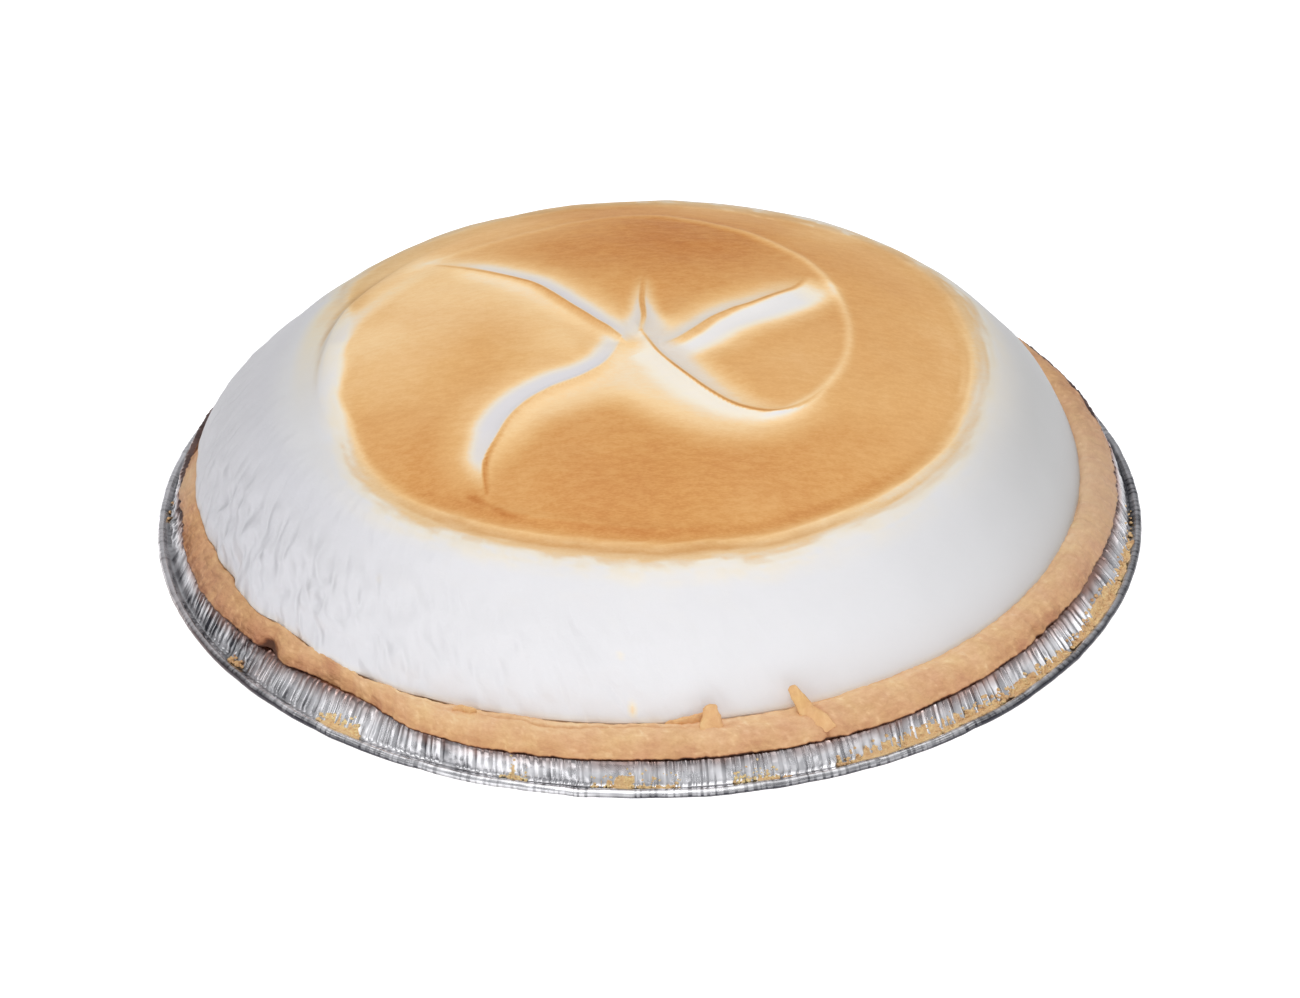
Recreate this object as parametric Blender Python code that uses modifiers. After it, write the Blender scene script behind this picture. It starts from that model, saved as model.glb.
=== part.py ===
"""A meringue pie in its foil tin: tin, pastry with its filling, and browned meringue.

Metres, +Z up. The origin is the middle of the tin's underside, and the tin's rim runs
all round at the same height. -Y is the front.
Profiles are lists of (radius, height). The tin's sheet is drawn thicker than real foil.
"""

from math import atan2, cos, exp, hypot, pi, radians, sin, sqrt

import bmesh
import bpy
from mathutils import Euler, Vector, noise

MM = 0.001
ROUNDING = 1e-9
FAR = 1.0

# Tin
RIM_RADIUS = 122 * MM
BEAD_RADIUS = 1.1 * MM
BEAD_HEIGHT = 22.9 * MM
BEAD_TURNS = (150, 90, 30, -30, -90, -150)
FOIL = 0.5 * MM
BASE_RADIUS = 89.5 * MM
CORNER_RADIUS = 94 * MM
CORNER_HEIGHT = 3 * MM
CREST_RADIUS = 114.4 * MM
CREST_HEIGHT = 29 * MM
CREST_HALF_WIDTH = 1.2 * MM
CREST_DROP = 0.5 * MM
SLOPE_FOOT_RADIUS = 118.7 * MM
LEDGE_HEIGHT = 23.3 * MM
FLUTES = 72
FLUTE_DEPTH = 0.3 * MM
FLUTE_FADE_HEIGHT = 7.5 * MM
FLUTE_FADE_RADIUS = 116.7 * MM

# Pastry and filling
GAP = 0.3 * MM
FILLING_HEIGHT = 31 * MM
LIP_OUTER_RADIUS = 116.2 * MM
LIP_UNDER_HEIGHT = 29.5 * MM
LIP_INNER_HEIGHT = 33.7 * MM
LIP_RISE = 1.2 * MM
FULL_SIDE = radians(28)
FULL_SIDE_WIDTH = radians(32)
FULL_SIDE_RISE = 1.8 * MM
FULL_SIDE_BULGE = 1.6 * MM
FULL_SIDE_BULGE_OUT = 1.1 * MM
THIN_SIDE = radians(-128)
THIN_SIDE_WIDTH = radians(13)
THIN_SIDE_INSET = 1.6 * MM
LIP_INSET = 3.7 * MM
LIP_ROUGHNESS = 0.45 * MM
LIP_LOBES_OUT = 5
LIP_LOBES_UP = 8
LIP_STEPS = 5
LIP_ROUNDNESS = 2.6
LIP_FOOT_START = 87 * MM
NOTCH_ANGLE = radians(-142)
NOTCH_DEPTH = 2.2 * MM
NOTCH_HALF_WIDTH = radians(2.6)

# Two flakes that stand up from the lip: where they stand, their length and how far they tip to the left
SHARDS = {
    "short": {"angle": radians(-83), "length": 6.2 * MM, "tip": radians(0)},
    "long": {"angle": radians(-72), "length": 11.5 * MM, "tip": radians(31)},
}
SHARD_RADIUS = 112 * MM
SHARD_MIDDLE_HEIGHT = 36.4 * MM
SHARD_WIDTH = 3.2 * MM
SHARD_THICKNESS = 1.5 * MM
SHARD_TAPER = (0.6, 0.8)
SHARD_LEAN = radians(-22)

# Meringue
MERINGUE_RADIUS = 108.8 * MM
MERINGUE_OFFSET = -3.0 * MM
OFFSET_START = 35 * MM
OFFSET_FULL = 75 * MM
LEAN = 0.019
SHAPED_FROM = 34.7 * MM
SHAPED_FULL = 53.7 * MM
BULGE_START = 101 * MM
RING_STEP = 50 * MM / 16
PLATEAU_RINGS = 25
PLATEAU_RADIUS = 80.5 * MM
EDGE_WIDTH = 1.5 * MM
EDGE_RIDGE = 0.5 * MM
EDGE_GROOVE = 0.6 * MM
EDGE_GROOVE_APART = 2.5 * MM
DOME = [
    (0, 75.0), (25, 74.4), (43, 72.6), (61, 69.7), (72, 66.8), (80, 64.3),
    (87, 62.4), (93, 58.2), (99, 52.2), (104, 45.4), (108.8, 34.2),
]
SKIRT_RADII = (80.5, 83, 87, 91, 95, 99, 102.2, 105, 107.2, 108.8)

# Pinwheel of ridges drawn up in the meringue, each an open route in plan from the middle outwards
ARMS = {
    "back_left": [(-6, -1), (-10.5, 3.7), (-17.3, 13.4), (-31.2, 29.7), (-50.2, 46.7)],
    "front_left": [(-6, -8), (-17.2, -20.6), (-30.2, -32), (-36.6, -50), (-37.4, -61)],
    "back": [(-1, 1), (-0.9, 13.6), (-0.3, 25.8)],
    "back_right": [(5, -4.6), (19.9, 9.2), (38, 24)],
    "front_right": [(-1, 2), (1.7, -8.8), (7.2, -18.3), (20.2, -32.2), (34, -34.5)],
}
ARM_SAMPLES = 24
CREST = 2.0 * MM
CREST_WIDTH = 2.2 * MM
VALLEY = 2.2 * MM
VALLEY_WIDTH = 6.5 * MM
VALLEY_END_WIDTH = 3.3 * MM
TIP_FADE = 0.25
COIL_RADIUS = 50 * MM
COIL_START = radians(-55)
COIL_END = radians(35)
COIL_RIDGE = 0.5 * MM
COIL_WIDTH = 1.6 * MM

OUT_SEED = 1.5
UP_SEED = 7.5
AROUND_TIN = 2 * FLUTES
AROUND_FOOD = 90
COLLECTION = "meringue_pie"


def clear_scene():
    for item in list(bpy.data.objects):
        bpy.data.objects.remove(item, do_unlink=True)


def material(name, colour, roughness, metallic):
    made = bpy.data.materials.new(name)
    made.use_nodes = True
    shader = made.node_tree.nodes["Principled BSDF"]
    shader.inputs["Base Color"].default_value = (*colour, 1)
    shader.inputs["Roughness"].default_value = roughness
    shader.inputs["Metallic"].default_value = metallic
    return made


def turned(name, outline, steps, collection):
    """The closed solid that an outline makes in a full turn, from axis to axis down its outer side."""
    mesh = bpy.data.meshes.new(name)
    edges = [(i, i + 1) for i in range(len(outline) - 1)]
    mesh.from_pydata([(r, 0, z) for r, z in outline], edges, [])
    item = bpy.data.objects.new(name, mesh)
    collection.objects.link(item)
    screw = item.modifiers.new("Turn", "SCREW")
    screw.axis = "Z"
    screw.angle = 2 * pi
    screw.steps = steps
    screw.render_steps = steps
    screw.use_merge_vertices = True
    screw.merge_threshold = 0.00001
    view = bpy.context.evaluated_depsgraph_get()
    item.data = bpy.data.meshes.new_from_object(item.evaluated_get(view))
    item.modifiers.clear()
    return item


def reshape(item, move):
    """Moves each vertex to where move(radius, angle, height) puts it, given and taken as x, y and z."""
    for vertex in item.data.vertices:
        x, y, z = vertex.co
        vertex.co = move(hypot(x, y), atan2(y, x), z)
    item.data.update()


def shade(item, finish, sharp_angle):
    item.data.materials.clear()
    item.data.materials.append(finish)
    item.data.shade_smooth()
    item.data.set_sharp_from_angle(angle=sharp_angle)


def between(low, high, share):
    return low + (high - low) * share


def smooth_share(value, low, high):
    """0 below low, 1 above high, and an S-curve from one to the other."""
    share = min(1, max(0, (value - low) / (high - low)))
    return share * share * (3 - 2 * share)


def roughness(angle, seed, lobes):
    """An uneven value near -1 to 1 that closes on itself after a full turn."""
    return noise.noise(Vector((lobes * cos(angle), lobes * sin(angle), seed)))


def bump(angle, middle, half_width):
    """1 at one angle, falling off to both sides like a bell, also across the half turn."""
    apart = (angle - middle + pi) % (2 * pi) - pi
    return exp(-((apart / half_width) ** 2))


# Foil tin


def wall_radius(height):
    """The inner face of the tin's straight wall at this height."""
    crest_start = CREST_RADIUS - CREST_HALF_WIDTH
    share = (height - CORNER_HEIGHT) / (CREST_HEIGHT - CREST_DROP - CORNER_HEIGHT)
    return between(CORNER_RADIUS, crest_start, share)


def tin_outline():
    """The sheet's upper face out to the rolled bead, round the bead, and its lower face back."""
    crest_edge = CREST_HEIGHT - CREST_DROP
    upper = [
        (0, FOIL),
        (BASE_RADIUS, FOIL),
        (CORNER_RADIUS, CORNER_HEIGHT),
        (CREST_RADIUS - CREST_HALF_WIDTH, crest_edge),
        (CREST_RADIUS, CREST_HEIGHT),
        (CREST_RADIUS + CREST_HALF_WIDTH, crest_edge),
        (SLOPE_FOOT_RADIUS, LEDGE_HEIGHT),
    ]
    bead_centre = RIM_RADIUS - BEAD_RADIUS
    bead = []
    for turn in BEAD_TURNS:
        angle = radians(turn)
        bead.append((bead_centre + BEAD_RADIUS * cos(angle), BEAD_HEIGHT + BEAD_RADIUS * sin(angle)))
    lower = [
        (SLOPE_FOOT_RADIUS - 0.4 * FOIL, LEDGE_HEIGHT - FOIL),
        (CREST_RADIUS + CREST_HALF_WIDTH - 0.8 * FOIL, crest_edge - 0.8 * FOIL),
        (CREST_RADIUS, CREST_HEIGHT - 1.2 * FOIL),
        (CREST_RADIUS - CREST_HALF_WIDTH + FOIL, crest_edge - FOIL),
        (CORNER_RADIUS + 0.9 * FOIL, CORNER_HEIGHT - 0.6 * FOIL),
        (BASE_RADIUS + 0.4 * FOIL, 0),
        (0, 0),
    ]
    return upper + bead + lower


def flute(radius, angle, height):
    """Fine upright folds in the wall and the sloping flange, none in the base, the ledge or the bead."""
    in_wall = smooth_share(height, CORNER_HEIGHT, FLUTE_FADE_HEIGHT)
    in_flange = 1 - smooth_share(radius, FLUTE_FADE_RADIUS, SLOPE_FOOT_RADIUS)
    moved = radius + FLUTE_DEPTH * cos(FLUTES * angle) * in_wall * in_flange
    return (moved * cos(angle), moved * sin(angle), height)


def make_tin(collection):
    tin = turned("foil_tin", tin_outline(), AROUND_TIN, collection)
    reshape(tin, flute)
    shade(tin, material("foil", (0.62, 0.62, 0.64), 0.28, 1.0), radians(25))
    return tin


# Pastry with its filling


def lip_profile():
    """Shares across the lip, from the meringue's edge to the lip's underside, with each one's height."""
    points = []
    for step in range(LIP_STEPS + 1):
        turn = pi * step / LIP_STEPS
        share = 0.5 - 0.5 * cos(turn)
        drop = (LIP_INNER_HEIGHT - LIP_UNDER_HEIGHT) * share ** LIP_ROUNDNESS
        points.append((share, LIP_INNER_HEIGHT + LIP_RISE * sin(turn) - drop))
    return points


def crust_outline():
    """Filling level, inner slope, rounded lip, underside on the tin's crest, and the wall to the base."""
    inner = MERINGUE_RADIUS
    outline = [(0, FILLING_HEIGHT), (inner - LIP_INSET, FILLING_HEIGHT)]
    for share, height in lip_profile():
        outline.append((between(inner, LIP_OUTER_RADIUS, share), height))
    clearance = FLUTE_DEPTH + 1.5 * GAP
    wall_top = CREST_HEIGHT - 3 * CREST_DROP
    outline += [
        (CREST_RADIUS, LIP_UNDER_HEIGHT),
        (CREST_RADIUS - CREST_HALF_WIDTH - clearance, LIP_UNDER_HEIGHT - GAP),
        (wall_radius(wall_top) - clearance, wall_top),
        (CORNER_RADIUS - clearance, CORNER_HEIGHT + GAP),
        (BASE_RADIUS - GAP, FOIL + GAP),
        (0, FOIL + GAP),
    ]
    return outline


def uneven_lip(radius, angle, height):
    """The lip follows the meringue's edge, wavers, is full on one side and broken on another."""
    up_lip = smooth_share(height, LIP_UNDER_HEIGHT, LIP_INNER_HEIGHT)
    on_lip = smooth_share(height, LIP_UNDER_HEIGHT - GAP, LIP_UNDER_HEIGHT)
    outer = smooth_share(radius, MERINGUE_RADIUS, LIP_OUTER_RADIUS)
    inner = smooth_share(radius, LIP_FOOT_START, MERINGUE_RADIUS) * (1 - outer) * on_lip
    full = bump(angle, FULL_SIDE, FULL_SIDE_WIDTH)
    thin = bump(angle, THIN_SIDE, THIN_SIDE_WIDTH)
    notch = bump(angle, NOTCH_ANGLE, NOTCH_HALF_WIDTH)
    inside = FULL_SIDE_BULGE * full * inner
    outside = LIP_ROUGHNESS * roughness(angle, OUT_SEED, LIP_LOBES_OUT)
    outside += FULL_SIDE_BULGE_OUT * full - THIN_SIDE_INSET * thin
    broken = NOTCH_DEPTH * notch * (1 - up_lip)
    moved = radius + inside + (outside - broken) * outer * on_lip
    lift = (LIP_ROUGHNESS * roughness(angle, UP_SEED, LIP_LOBES_UP) + FULL_SIDE_RISE * full) * up_lip
    lift *= smooth_share(radius, MERINGUE_RADIUS, between(MERINGUE_RADIUS, LIP_OUTER_RADIUS, 0.5))
    return (moved * cos(angle) + MERINGUE_OFFSET * inner, moved * sin(angle), height + lift)


def add_shard(crust, shape, collection):
    """A tapered flake that stands on the lip and leans towards the meringue, joined into the crust."""
    mesh = bpy.data.meshes.new("shard")
    block = bmesh.new()
    bmesh.ops.create_cube(block, size=1)
    bmesh.ops.scale(block, vec=(SHARD_THICKNESS, SHARD_WIDTH, shape["length"]), verts=block.verts)
    for corner in block.verts:
        if corner.co.z > 0:
            corner.co.x *= SHARD_TAPER[0]
            corner.co.y *= SHARD_TAPER[1]
    block.to_mesh(mesh)
    block.free()
    shard = bpy.data.objects.new("shard", mesh)
    collection.objects.link(shard)
    angle = shape["angle"]
    shard.location = (SHARD_RADIUS * cos(angle), SHARD_RADIUS * sin(angle), SHARD_MIDDLE_HEIGHT)
    shard.rotation_euler = Euler((shape["tip"], SHARD_LEAN, angle))
    bpy.context.view_layer.update()
    join = crust.modifiers.new("Shard", "BOOLEAN")
    join.operation = "UNION"
    join.solver = "EXACT"
    join.object = shard
    view = bpy.context.evaluated_depsgraph_get()
    crust.data = bpy.data.meshes.new_from_object(crust.evaluated_get(view))
    crust.modifiers.clear()
    bpy.data.objects.remove(shard, do_unlink=True)


def make_crust(collection):
    crust = turned("pastry_crust", crust_outline(), AROUND_FOOD, collection)
    reshape(crust, uneven_lip)
    for shape in SHARDS.values():
        add_shard(crust, shape, collection)
    shade(crust, material("pastry", (0.71, 0.42, 0.20), 0.75, 0.0), radians(40))
    return crust


# Meringue


def smooth_route(points, samples):
    """Evenly numbered points on a curve through all the given ones (Catmull-Rom)."""
    ends = [points[0]] + points + [points[-1]]
    route = []
    for step in range(samples + 1):
        along = step / samples * (len(points) - 1)
        part = min(int(along), len(points) - 2)
        t = along - part
        a, b, c, d = (Vector(ends[part + k]) for k in range(4))
        route.append(0.5 * (2 * b + (c - a) * t + (2 * a - 5 * b + 4 * c - d) * t * t
                            + (3 * b - a - 3 * c + d) * t ** 3))
    return route


def nearest(route, x, y):
    """Distance to a route in plan, and how far along it the nearest point is, from 0 to 1."""
    spot = Vector((x, y))
    best = (FAR, 0.0)
    for k in range(len(route) - 1):
        start = route[k]
        leg = route[k + 1] - start
        share = min(1, max(0, (spot - start).dot(leg) / leg.length_squared))
        apart = (spot - start - share * leg).length
        if apart < best[0]:
            best = (apart, (k + share) / (len(route) - 1))
    return best


def pinwheel(x, y, routes):
    """The ridges stand up in valleys that are widest at the middle and run out at the arms' tips."""
    valley = 0
    crest = 0
    for route in routes:
        apart, along = nearest(route, x, y)
        fade = 1 - smooth_share(along, 1 - TIP_FADE, 1)
        width = between(VALLEY_WIDTH, VALLEY_END_WIDTH, along)
        valley = max(valley, VALLEY * fade * exp(-((apart / width) ** 2)))
        crest = max(crest, CREST * fade * exp(-((apart / CREST_WIDTH) ** 2)))
    return crest - valley


def coil(radius, angle):
    """A thin raised line that carries the front right arm on round the middle."""
    on_line = exp(-(((radius - COIL_RADIUS) / COIL_WIDTH) ** 2))
    return COIL_RIDGE * on_line * (COIL_START < angle < COIL_END)


def plateau_edge(radius, angle):
    """The browned top ends in a low ridge, with a groove outside it that is deepest on the left."""
    outside = radius - PLATEAU_RADIUS
    ridge = EDGE_RIDGE * exp(-((outside / EDGE_WIDTH) ** 2))
    groove = EDGE_GROOVE * exp(-(((outside - EDGE_GROOVE_APART) / EDGE_WIDTH) ** 2))
    return ridge - groove * (0.5 - 0.5 * cos(angle))


def dome_height(radius):
    """The dome's height at a radius, on a smooth curve through the profile's points."""
    places = [r * MM for r, _ in DOME]
    heights = [z * MM for _, z in DOME]
    part = max(k for k in range(len(DOME) - 1) if places[k] <= radius + ROUNDING)
    slopes = [0.0]
    for k in range(1, len(DOME) - 1):
        before = (heights[k] - heights[k - 1]) / (places[k] - places[k - 1])
        after = (heights[k + 1] - heights[k]) / (places[k + 1] - places[k])
        slopes.append(-sqrt(before * after))
    slopes.append((heights[-1] - heights[-2]) / (places[-1] - places[-2]))
    span = places[part + 1] - places[part]
    t = (radius - places[part]) / span
    return ((1 + 2 * t) * (1 - t) ** 2 * heights[part] + t * t * (3 - 2 * t) * heights[part + 1]
            + t * (1 - t) ** 2 * span * slopes[part] - t * t * (1 - t) * span * slopes[part + 1])


def meringue_outline():
    """Down the dome from its top, then its underside, which lies a gap above the pastry."""
    radii = [RING_STEP * ring for ring in range(PLATEAU_RINGS + 1)] + [r * MM for r in SKIRT_RADII]
    outline = [(radius, dome_height(radius)) for radius in radii]
    return outline + [(MERINGUE_RADIUS - LIP_INSET - GAP, FILLING_HEIGHT + GAP), (0, FILLING_HEIGHT + GAP)]


def make_meringue(collection):
    meringue = turned("meringue", meringue_outline(), AROUND_FOOD, collection)
    routes = []
    for points in ARMS.values():
        routes.append(smooth_route([(x * MM, y * MM) for x, y in points], ARM_SAMPLES))

    def relief(radius, angle, height):
        """Leans the dome, sets its edge off centre, and raises and sinks the pattern on top."""
        x = radius * cos(angle)
        y = radius * sin(angle)
        above_lip = smooth_share(height, SHAPED_FROM, SHAPED_FULL)
        outside = smooth_share(radius, OFFSET_START, OFFSET_FULL)
        bulge = FULL_SIDE_BULGE * bump(angle, FULL_SIDE, FULL_SIDE_WIDTH)
        bulge *= smooth_share(radius, BULGE_START, MERINGUE_RADIUS)
        if above_lip > 0:
            height += LEAN * x * above_lip + plateau_edge(radius, angle) * above_lip
            height += pinwheel(x, y, routes) + coil(radius, angle)
        return (x + MERINGUE_OFFSET * outside + bulge * cos(angle), y + bulge * sin(angle), height)

    reshape(meringue, relief)
    shade(meringue, material("meringue", (0.80, 0.60, 0.38), 0.6, 0.0), radians(60))
    return meringue


def main():
    clear_scene()
    collection = bpy.data.collections.new(COLLECTION)
    bpy.context.scene.collection.children.link(collection)
    make_tin(collection)
    make_crust(collection)
    make_meringue(collection)


main()
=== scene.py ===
import bpy
import numpy as np
from mathutils import Matrix, Vector


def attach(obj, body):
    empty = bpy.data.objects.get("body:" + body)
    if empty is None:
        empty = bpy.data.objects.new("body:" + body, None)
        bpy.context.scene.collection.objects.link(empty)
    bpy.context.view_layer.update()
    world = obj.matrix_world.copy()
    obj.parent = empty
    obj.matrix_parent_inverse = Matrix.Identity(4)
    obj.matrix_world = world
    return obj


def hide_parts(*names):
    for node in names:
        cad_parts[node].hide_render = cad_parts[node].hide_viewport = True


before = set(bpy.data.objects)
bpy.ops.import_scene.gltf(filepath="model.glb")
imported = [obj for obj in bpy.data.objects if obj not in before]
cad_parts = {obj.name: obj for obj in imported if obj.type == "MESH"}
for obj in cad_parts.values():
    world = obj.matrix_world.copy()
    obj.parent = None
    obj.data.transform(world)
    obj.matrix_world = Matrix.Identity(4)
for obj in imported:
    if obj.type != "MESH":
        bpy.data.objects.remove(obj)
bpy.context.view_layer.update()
print("frame loaded:", ", ".join(sorted(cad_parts)))

mm = 0.001    # shapes are worked out in millimetres and put into meshes in metres
turn = 2 * np.pi


# numbers, always whole arrays at once

def mix(low, high, share):    # straight blend from low to high
    return low + (high - low) * share


def ease(value, low, high):    # 0 below low, 1 above high, an S-curve between
    share = np.clip((value - low) / (high - low), 0, 1)
    return share * share * (3 - 2 * share)


def bell(value, middle, width):    # 1 in the middle, falling off to both sides as exp(-square)
    return np.exp(-((value - middle) / width) ** 2)


def planBell(x, y, middleX, middleY, reach):    # the same round a point in plan, by the distance from it
    return np.exp(-((x - middleX) ** 2 + (y - middleY) ** 2) / reach ** 2)


def angleBell(angle, middle, width):    # the same in degrees round the pie, across the half turn too
    apart = (np.degrees(angle) - middle + 180) % 360 - 180
    return np.exp(-(apart / width) ** 2)


def stretch(angle, rise, fall):    # 1 from the end of rise to the start of fall, both (from, to) in degrees
    degrees = np.degrees(angle)
    return ease(degrees, *rise) * (1 - ease(degrees, *fall))


def roundAngles(count):    # angles round the pie, starting at the back, where a seam is out of sight
    return (np.arange(count) / count * turn + 1.5 * np.pi) % turn - np.pi


def fromBack(angle):    # degrees counted from the back, for noise laid round the pie
    return (np.degrees(angle) - 90) % 360


def placed(radius, angle, level, shift=0):
    # points round the pie: x and y from radius and angle, the whole moved sideways by shift, z from level
    spots = np.broadcast_arrays(radius * np.cos(angle) + shift, radius * np.sin(angle), level)
    return np.stack(spots, -1)


def lookUp(value, table):    # straight runs between the entries of {place: value}
    return np.interp(value, list(table), list(table.values()))


def roundTable(angle, table, soft=6):
    # a closed table of {degrees: value}: straight runs between entries, evened out over soft degrees each way
    perDegree = 4
    stops = np.arange(360 * perDegree) / perDegree - 180
    values = np.interp(stops, list(table), list(table.values()), period=360)
    reach = int(perDegree * soft)
    window = np.hanning(2 * reach + 3)[1:-1]
    even = np.convolve(np.concatenate([values[-reach:], values, values[:reach]]), window / window.sum(), "valid")
    return np.interp(np.degrees(angle), stops, even, period=360)


def patchNoise(x, y, z, cell, seed):
    # random numbers on a lattice whose cells are cell mm wide, blended with an S-curve in each: -1 to 1
    size = 32    # the lattice repeats after this many cells
    lattice = np.random.default_rng(seed).uniform(-1, 1, (size, size, size))
    spots = np.stack(np.broadcast_arrays(x, y, z)) / cell
    corner = np.floor(spots).astype(int)
    part = ease(spots - corner, 0, 1)
    total = 0
    for k in range(8):
        step = np.array([k & 1, k >> 1 & 1, k >> 2 & 1]).reshape(3, *[1] * (spots.ndim - 1))
        weight = np.where(step, part, 1 - part).prod(axis=0)
        total = total + weight * lattice[tuple((corner + step) % size)]
    return total


def roughNoise(x, y, z, cell, seed):    # three layers of patchNoise, each half as wide and half as strong
    layers = [patchNoise(x, y, z, cell / 2 ** k, seed + k) / 2 ** k for k in range(3)]
    return sum(layers)


def smoothRoute(points, samples=40):
    # Catmull-Rom curve through all the points, worked out finely and read again at even steps of its length
    given = np.array(points, float)
    ends = np.vstack([2 * given[0] - given[1], given, 2 * given[-1] - given[-2]])
    along = np.linspace(0, len(given) - 1, 6 * samples)
    part = np.minimum(along.astype(int), len(given) - 2)
    t = (along - part)[:, None]
    a, b, c, d = (ends[part + k] for k in range(4))
    curve = 0.5 * (2 * b + (c - a) * t + (2 * a - 5 * b + 4 * c - d) * t ** 2 + (3 * b - a - 3 * c + d) * t ** 3)
    length = np.concatenate([[0], np.cumsum(np.linalg.norm(np.diff(curve, axis=0), axis=1))])
    even = np.linspace(0, length[-1], samples)
    return np.stack([np.interp(even, length, column) for column in curve.T], -1)


def besideRoute(x, y, route):
    # for each spot its distance from a route in plan, plus on the left and minus on the right, and its share
    # along it
    nearest = np.full(x.shape, np.inf)
    side = np.ones(x.shape)
    along = np.zeros(x.shape)
    for k in range(len(route) - 1):
        leg = route[k + 1] - route[k]
        dx, dy = x - route[k, 0], y - route[k, 1]
        share = np.clip((dx * leg[0] + dy * leg[1]) / (leg @ leg), 0, 1)
        apart = np.hypot(dx - share * leg[0], dy - share * leg[1])
        closer = apart < nearest
        nearest = np.where(closer, apart, nearest)
        side = np.where(closer, np.sign(leg[0] * dy - leg[1] * dx), side)
        along = np.where(closer, (k + share) / (len(route) - 1), along)
    return nearest * side, along


# meshes from whole arrays

def fillMesh(name, points, corners, starts, fields, uvs=None):
    # points in mm, corners and starts as a mesh keeps them, fields a value for each point
    mesh = bpy.data.meshes.new(name)
    mesh.vertices.add(len(points))
    mesh.vertices.foreach_set("co", (points * mm).astype(np.float32).ravel())
    mesh.loops.add(len(corners))
    mesh.loops.foreach_set("vertex_index", corners.astype(np.int32))
    mesh.polygons.add(len(starts))
    mesh.polygons.foreach_set("loop_start", starts.astype(np.int32))
    mesh.update(calc_edges=True)
    for field, values in fields.items():
        mesh.attributes.new(field, "FLOAT", "POINT").data.foreach_set("value", values.astype(np.float32).ravel())
    if uvs is not None:
        mesh.uv_layers.new(name="Along").data.foreach_set("uv", uvs.astype(np.float32).ravel())
    mesh.shade_smooth()
    piece = bpy.data.objects.new(name, mesh)
    bpy.context.scene.collection.objects.link(piece)
    return piece


def skin(name, rings, fields, poles=None):
    # a closed skin over rings[ring, step round]; poles are the points that close its two ends,
    # and with none the last ring joins the first. The UV is (way round, way across) in metres.
    count, around = rings.shape[:2]
    rows = count if poles is None else count - 1
    ring, step = np.meshgrid(np.arange(rows), np.arange(around), indexing="ij")
    ringAt = np.stack([ring, ring + 1, ring + 1, ring], -1).reshape(-1, 4)
    stepAt = np.stack([step, step, step + 1, step + 1], -1).reshape(-1, 4)
    corners = (ringAt % count * around + stepAt % around).ravel()
    legs = np.linalg.norm(np.diff(rings, axis=0, append=rings[:1]), axis=2).mean(axis=1)
    across = np.concatenate([[0], np.cumsum(legs)])
    reach = np.hypot(rings[..., 0], rings[..., 1]).mean() * turn / around
    uvs = np.stack([stepAt * reach, across[ringAt]], -1).reshape(-1, 2) * mm
    starts = np.arange(0, len(corners), 4)
    points = rings.reshape(-1, 3)
    if poles is not None:
        first, last = len(points), len(points) + 1
        side = np.arange(around)
        after = (side + 1) % around
        top = np.stack([np.full(around, first), side, after], -1)
        low = (count - 1) * around
        bottom = np.stack([np.full(around, last), low + after, low + side], -1)
        fans = np.concatenate([top, bottom])
        starts = np.concatenate([starts, len(corners) + 3 * np.arange(len(fans))])
        corners = np.concatenate([corners, fans.ravel()])
        uvs = np.concatenate([uvs, np.zeros((fans.size, 2))])
        points = np.concatenate([points, np.array(poles, float)])
        fields = {key: np.append(field.ravel(), [field[0].mean(), field[-1].mean()])
                  for key, field in fields.items()}
    return fillMesh(name, points, corners, starts, fields, uvs)


# shader nodes

def paint(red, green, blue):
    # a colour as a screen shows it, 0 to 255, turned into the light values that shaders take
    screen = np.array([red, green, blue]) / 255
    light = np.where(screen < 0.04045, screen / 12.92, ((screen + 0.055) / 1.055) ** 2.4)
    return (*light.tolist(), 1)


def feed(tree, node, feeds):    # feeds are {socket: a value, or the output that feeds it}
    for socket, value in feeds.items():
        if isinstance(value, bpy.types.NodeSocket):
            tree.links.new(value, node.inputs[socket])
        else:
            node.inputs[socket].default_value = value
    return node


def add(tree, kind, feeds=None, **settings):    # a new node with its own settings, fed as above
    made = tree.nodes.new("ShaderNode" + kind)
    for key, value in settings.items():
        setattr(made, key, value)
    return feed(tree, made, feeds or {})


def painted(tree, field):    # a value that the mesh keeps for each of its points
    return add(tree, "Attribute", attribute_name=field).outputs["Fac"]


def maths(tree, operation, a, b, c=0.5):    # one maths node; only those that take three values use c
    return add(tree, "Math", {0: a, 1: b, 2: c}, operation=operation).outputs[0]


def blendColour(tree, share, a, b, how="MIX"):    # from colour a towards b, or a times b, by share
    return add(tree, "Mix", {0: share, 6: a, 7: b}, data_type="RGBA", blend_type=how).outputs[2]


def ramp(tree, value, stops):    # a colour read from (place, colour) stops
    made = add(tree, "ValToRGB", {0: value})
    strip = made.color_ramp
    for place, colour in stops[1:-1]:
        strip.elements.new(place).color = colour
    strip.elements[0].position, strip.elements[0].color = stops[0]
    strip.elements[-1].position, strip.elements[-1].color = stops[-1]
    return made.outputs["Color"]


def startGroup(name, inputs, outputs):
    # an empty node group with its named sockets, each given as (name, kind, value)
    group = bpy.data.node_groups.new(name, "ShaderNodeTree")
    for label, kind, value in inputs:
        group.interface.new_socket(label, in_out="INPUT", socket_type="NodeSocket" + kind).default_value = value
    for label, kind in outputs:
        group.interface.new_socket(label, in_out="OUTPUT", socket_type="NodeSocket" + kind)
    return group, group.nodes.new("NodeGroupInput"), group.nodes.new("NodeGroupOutput")


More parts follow.
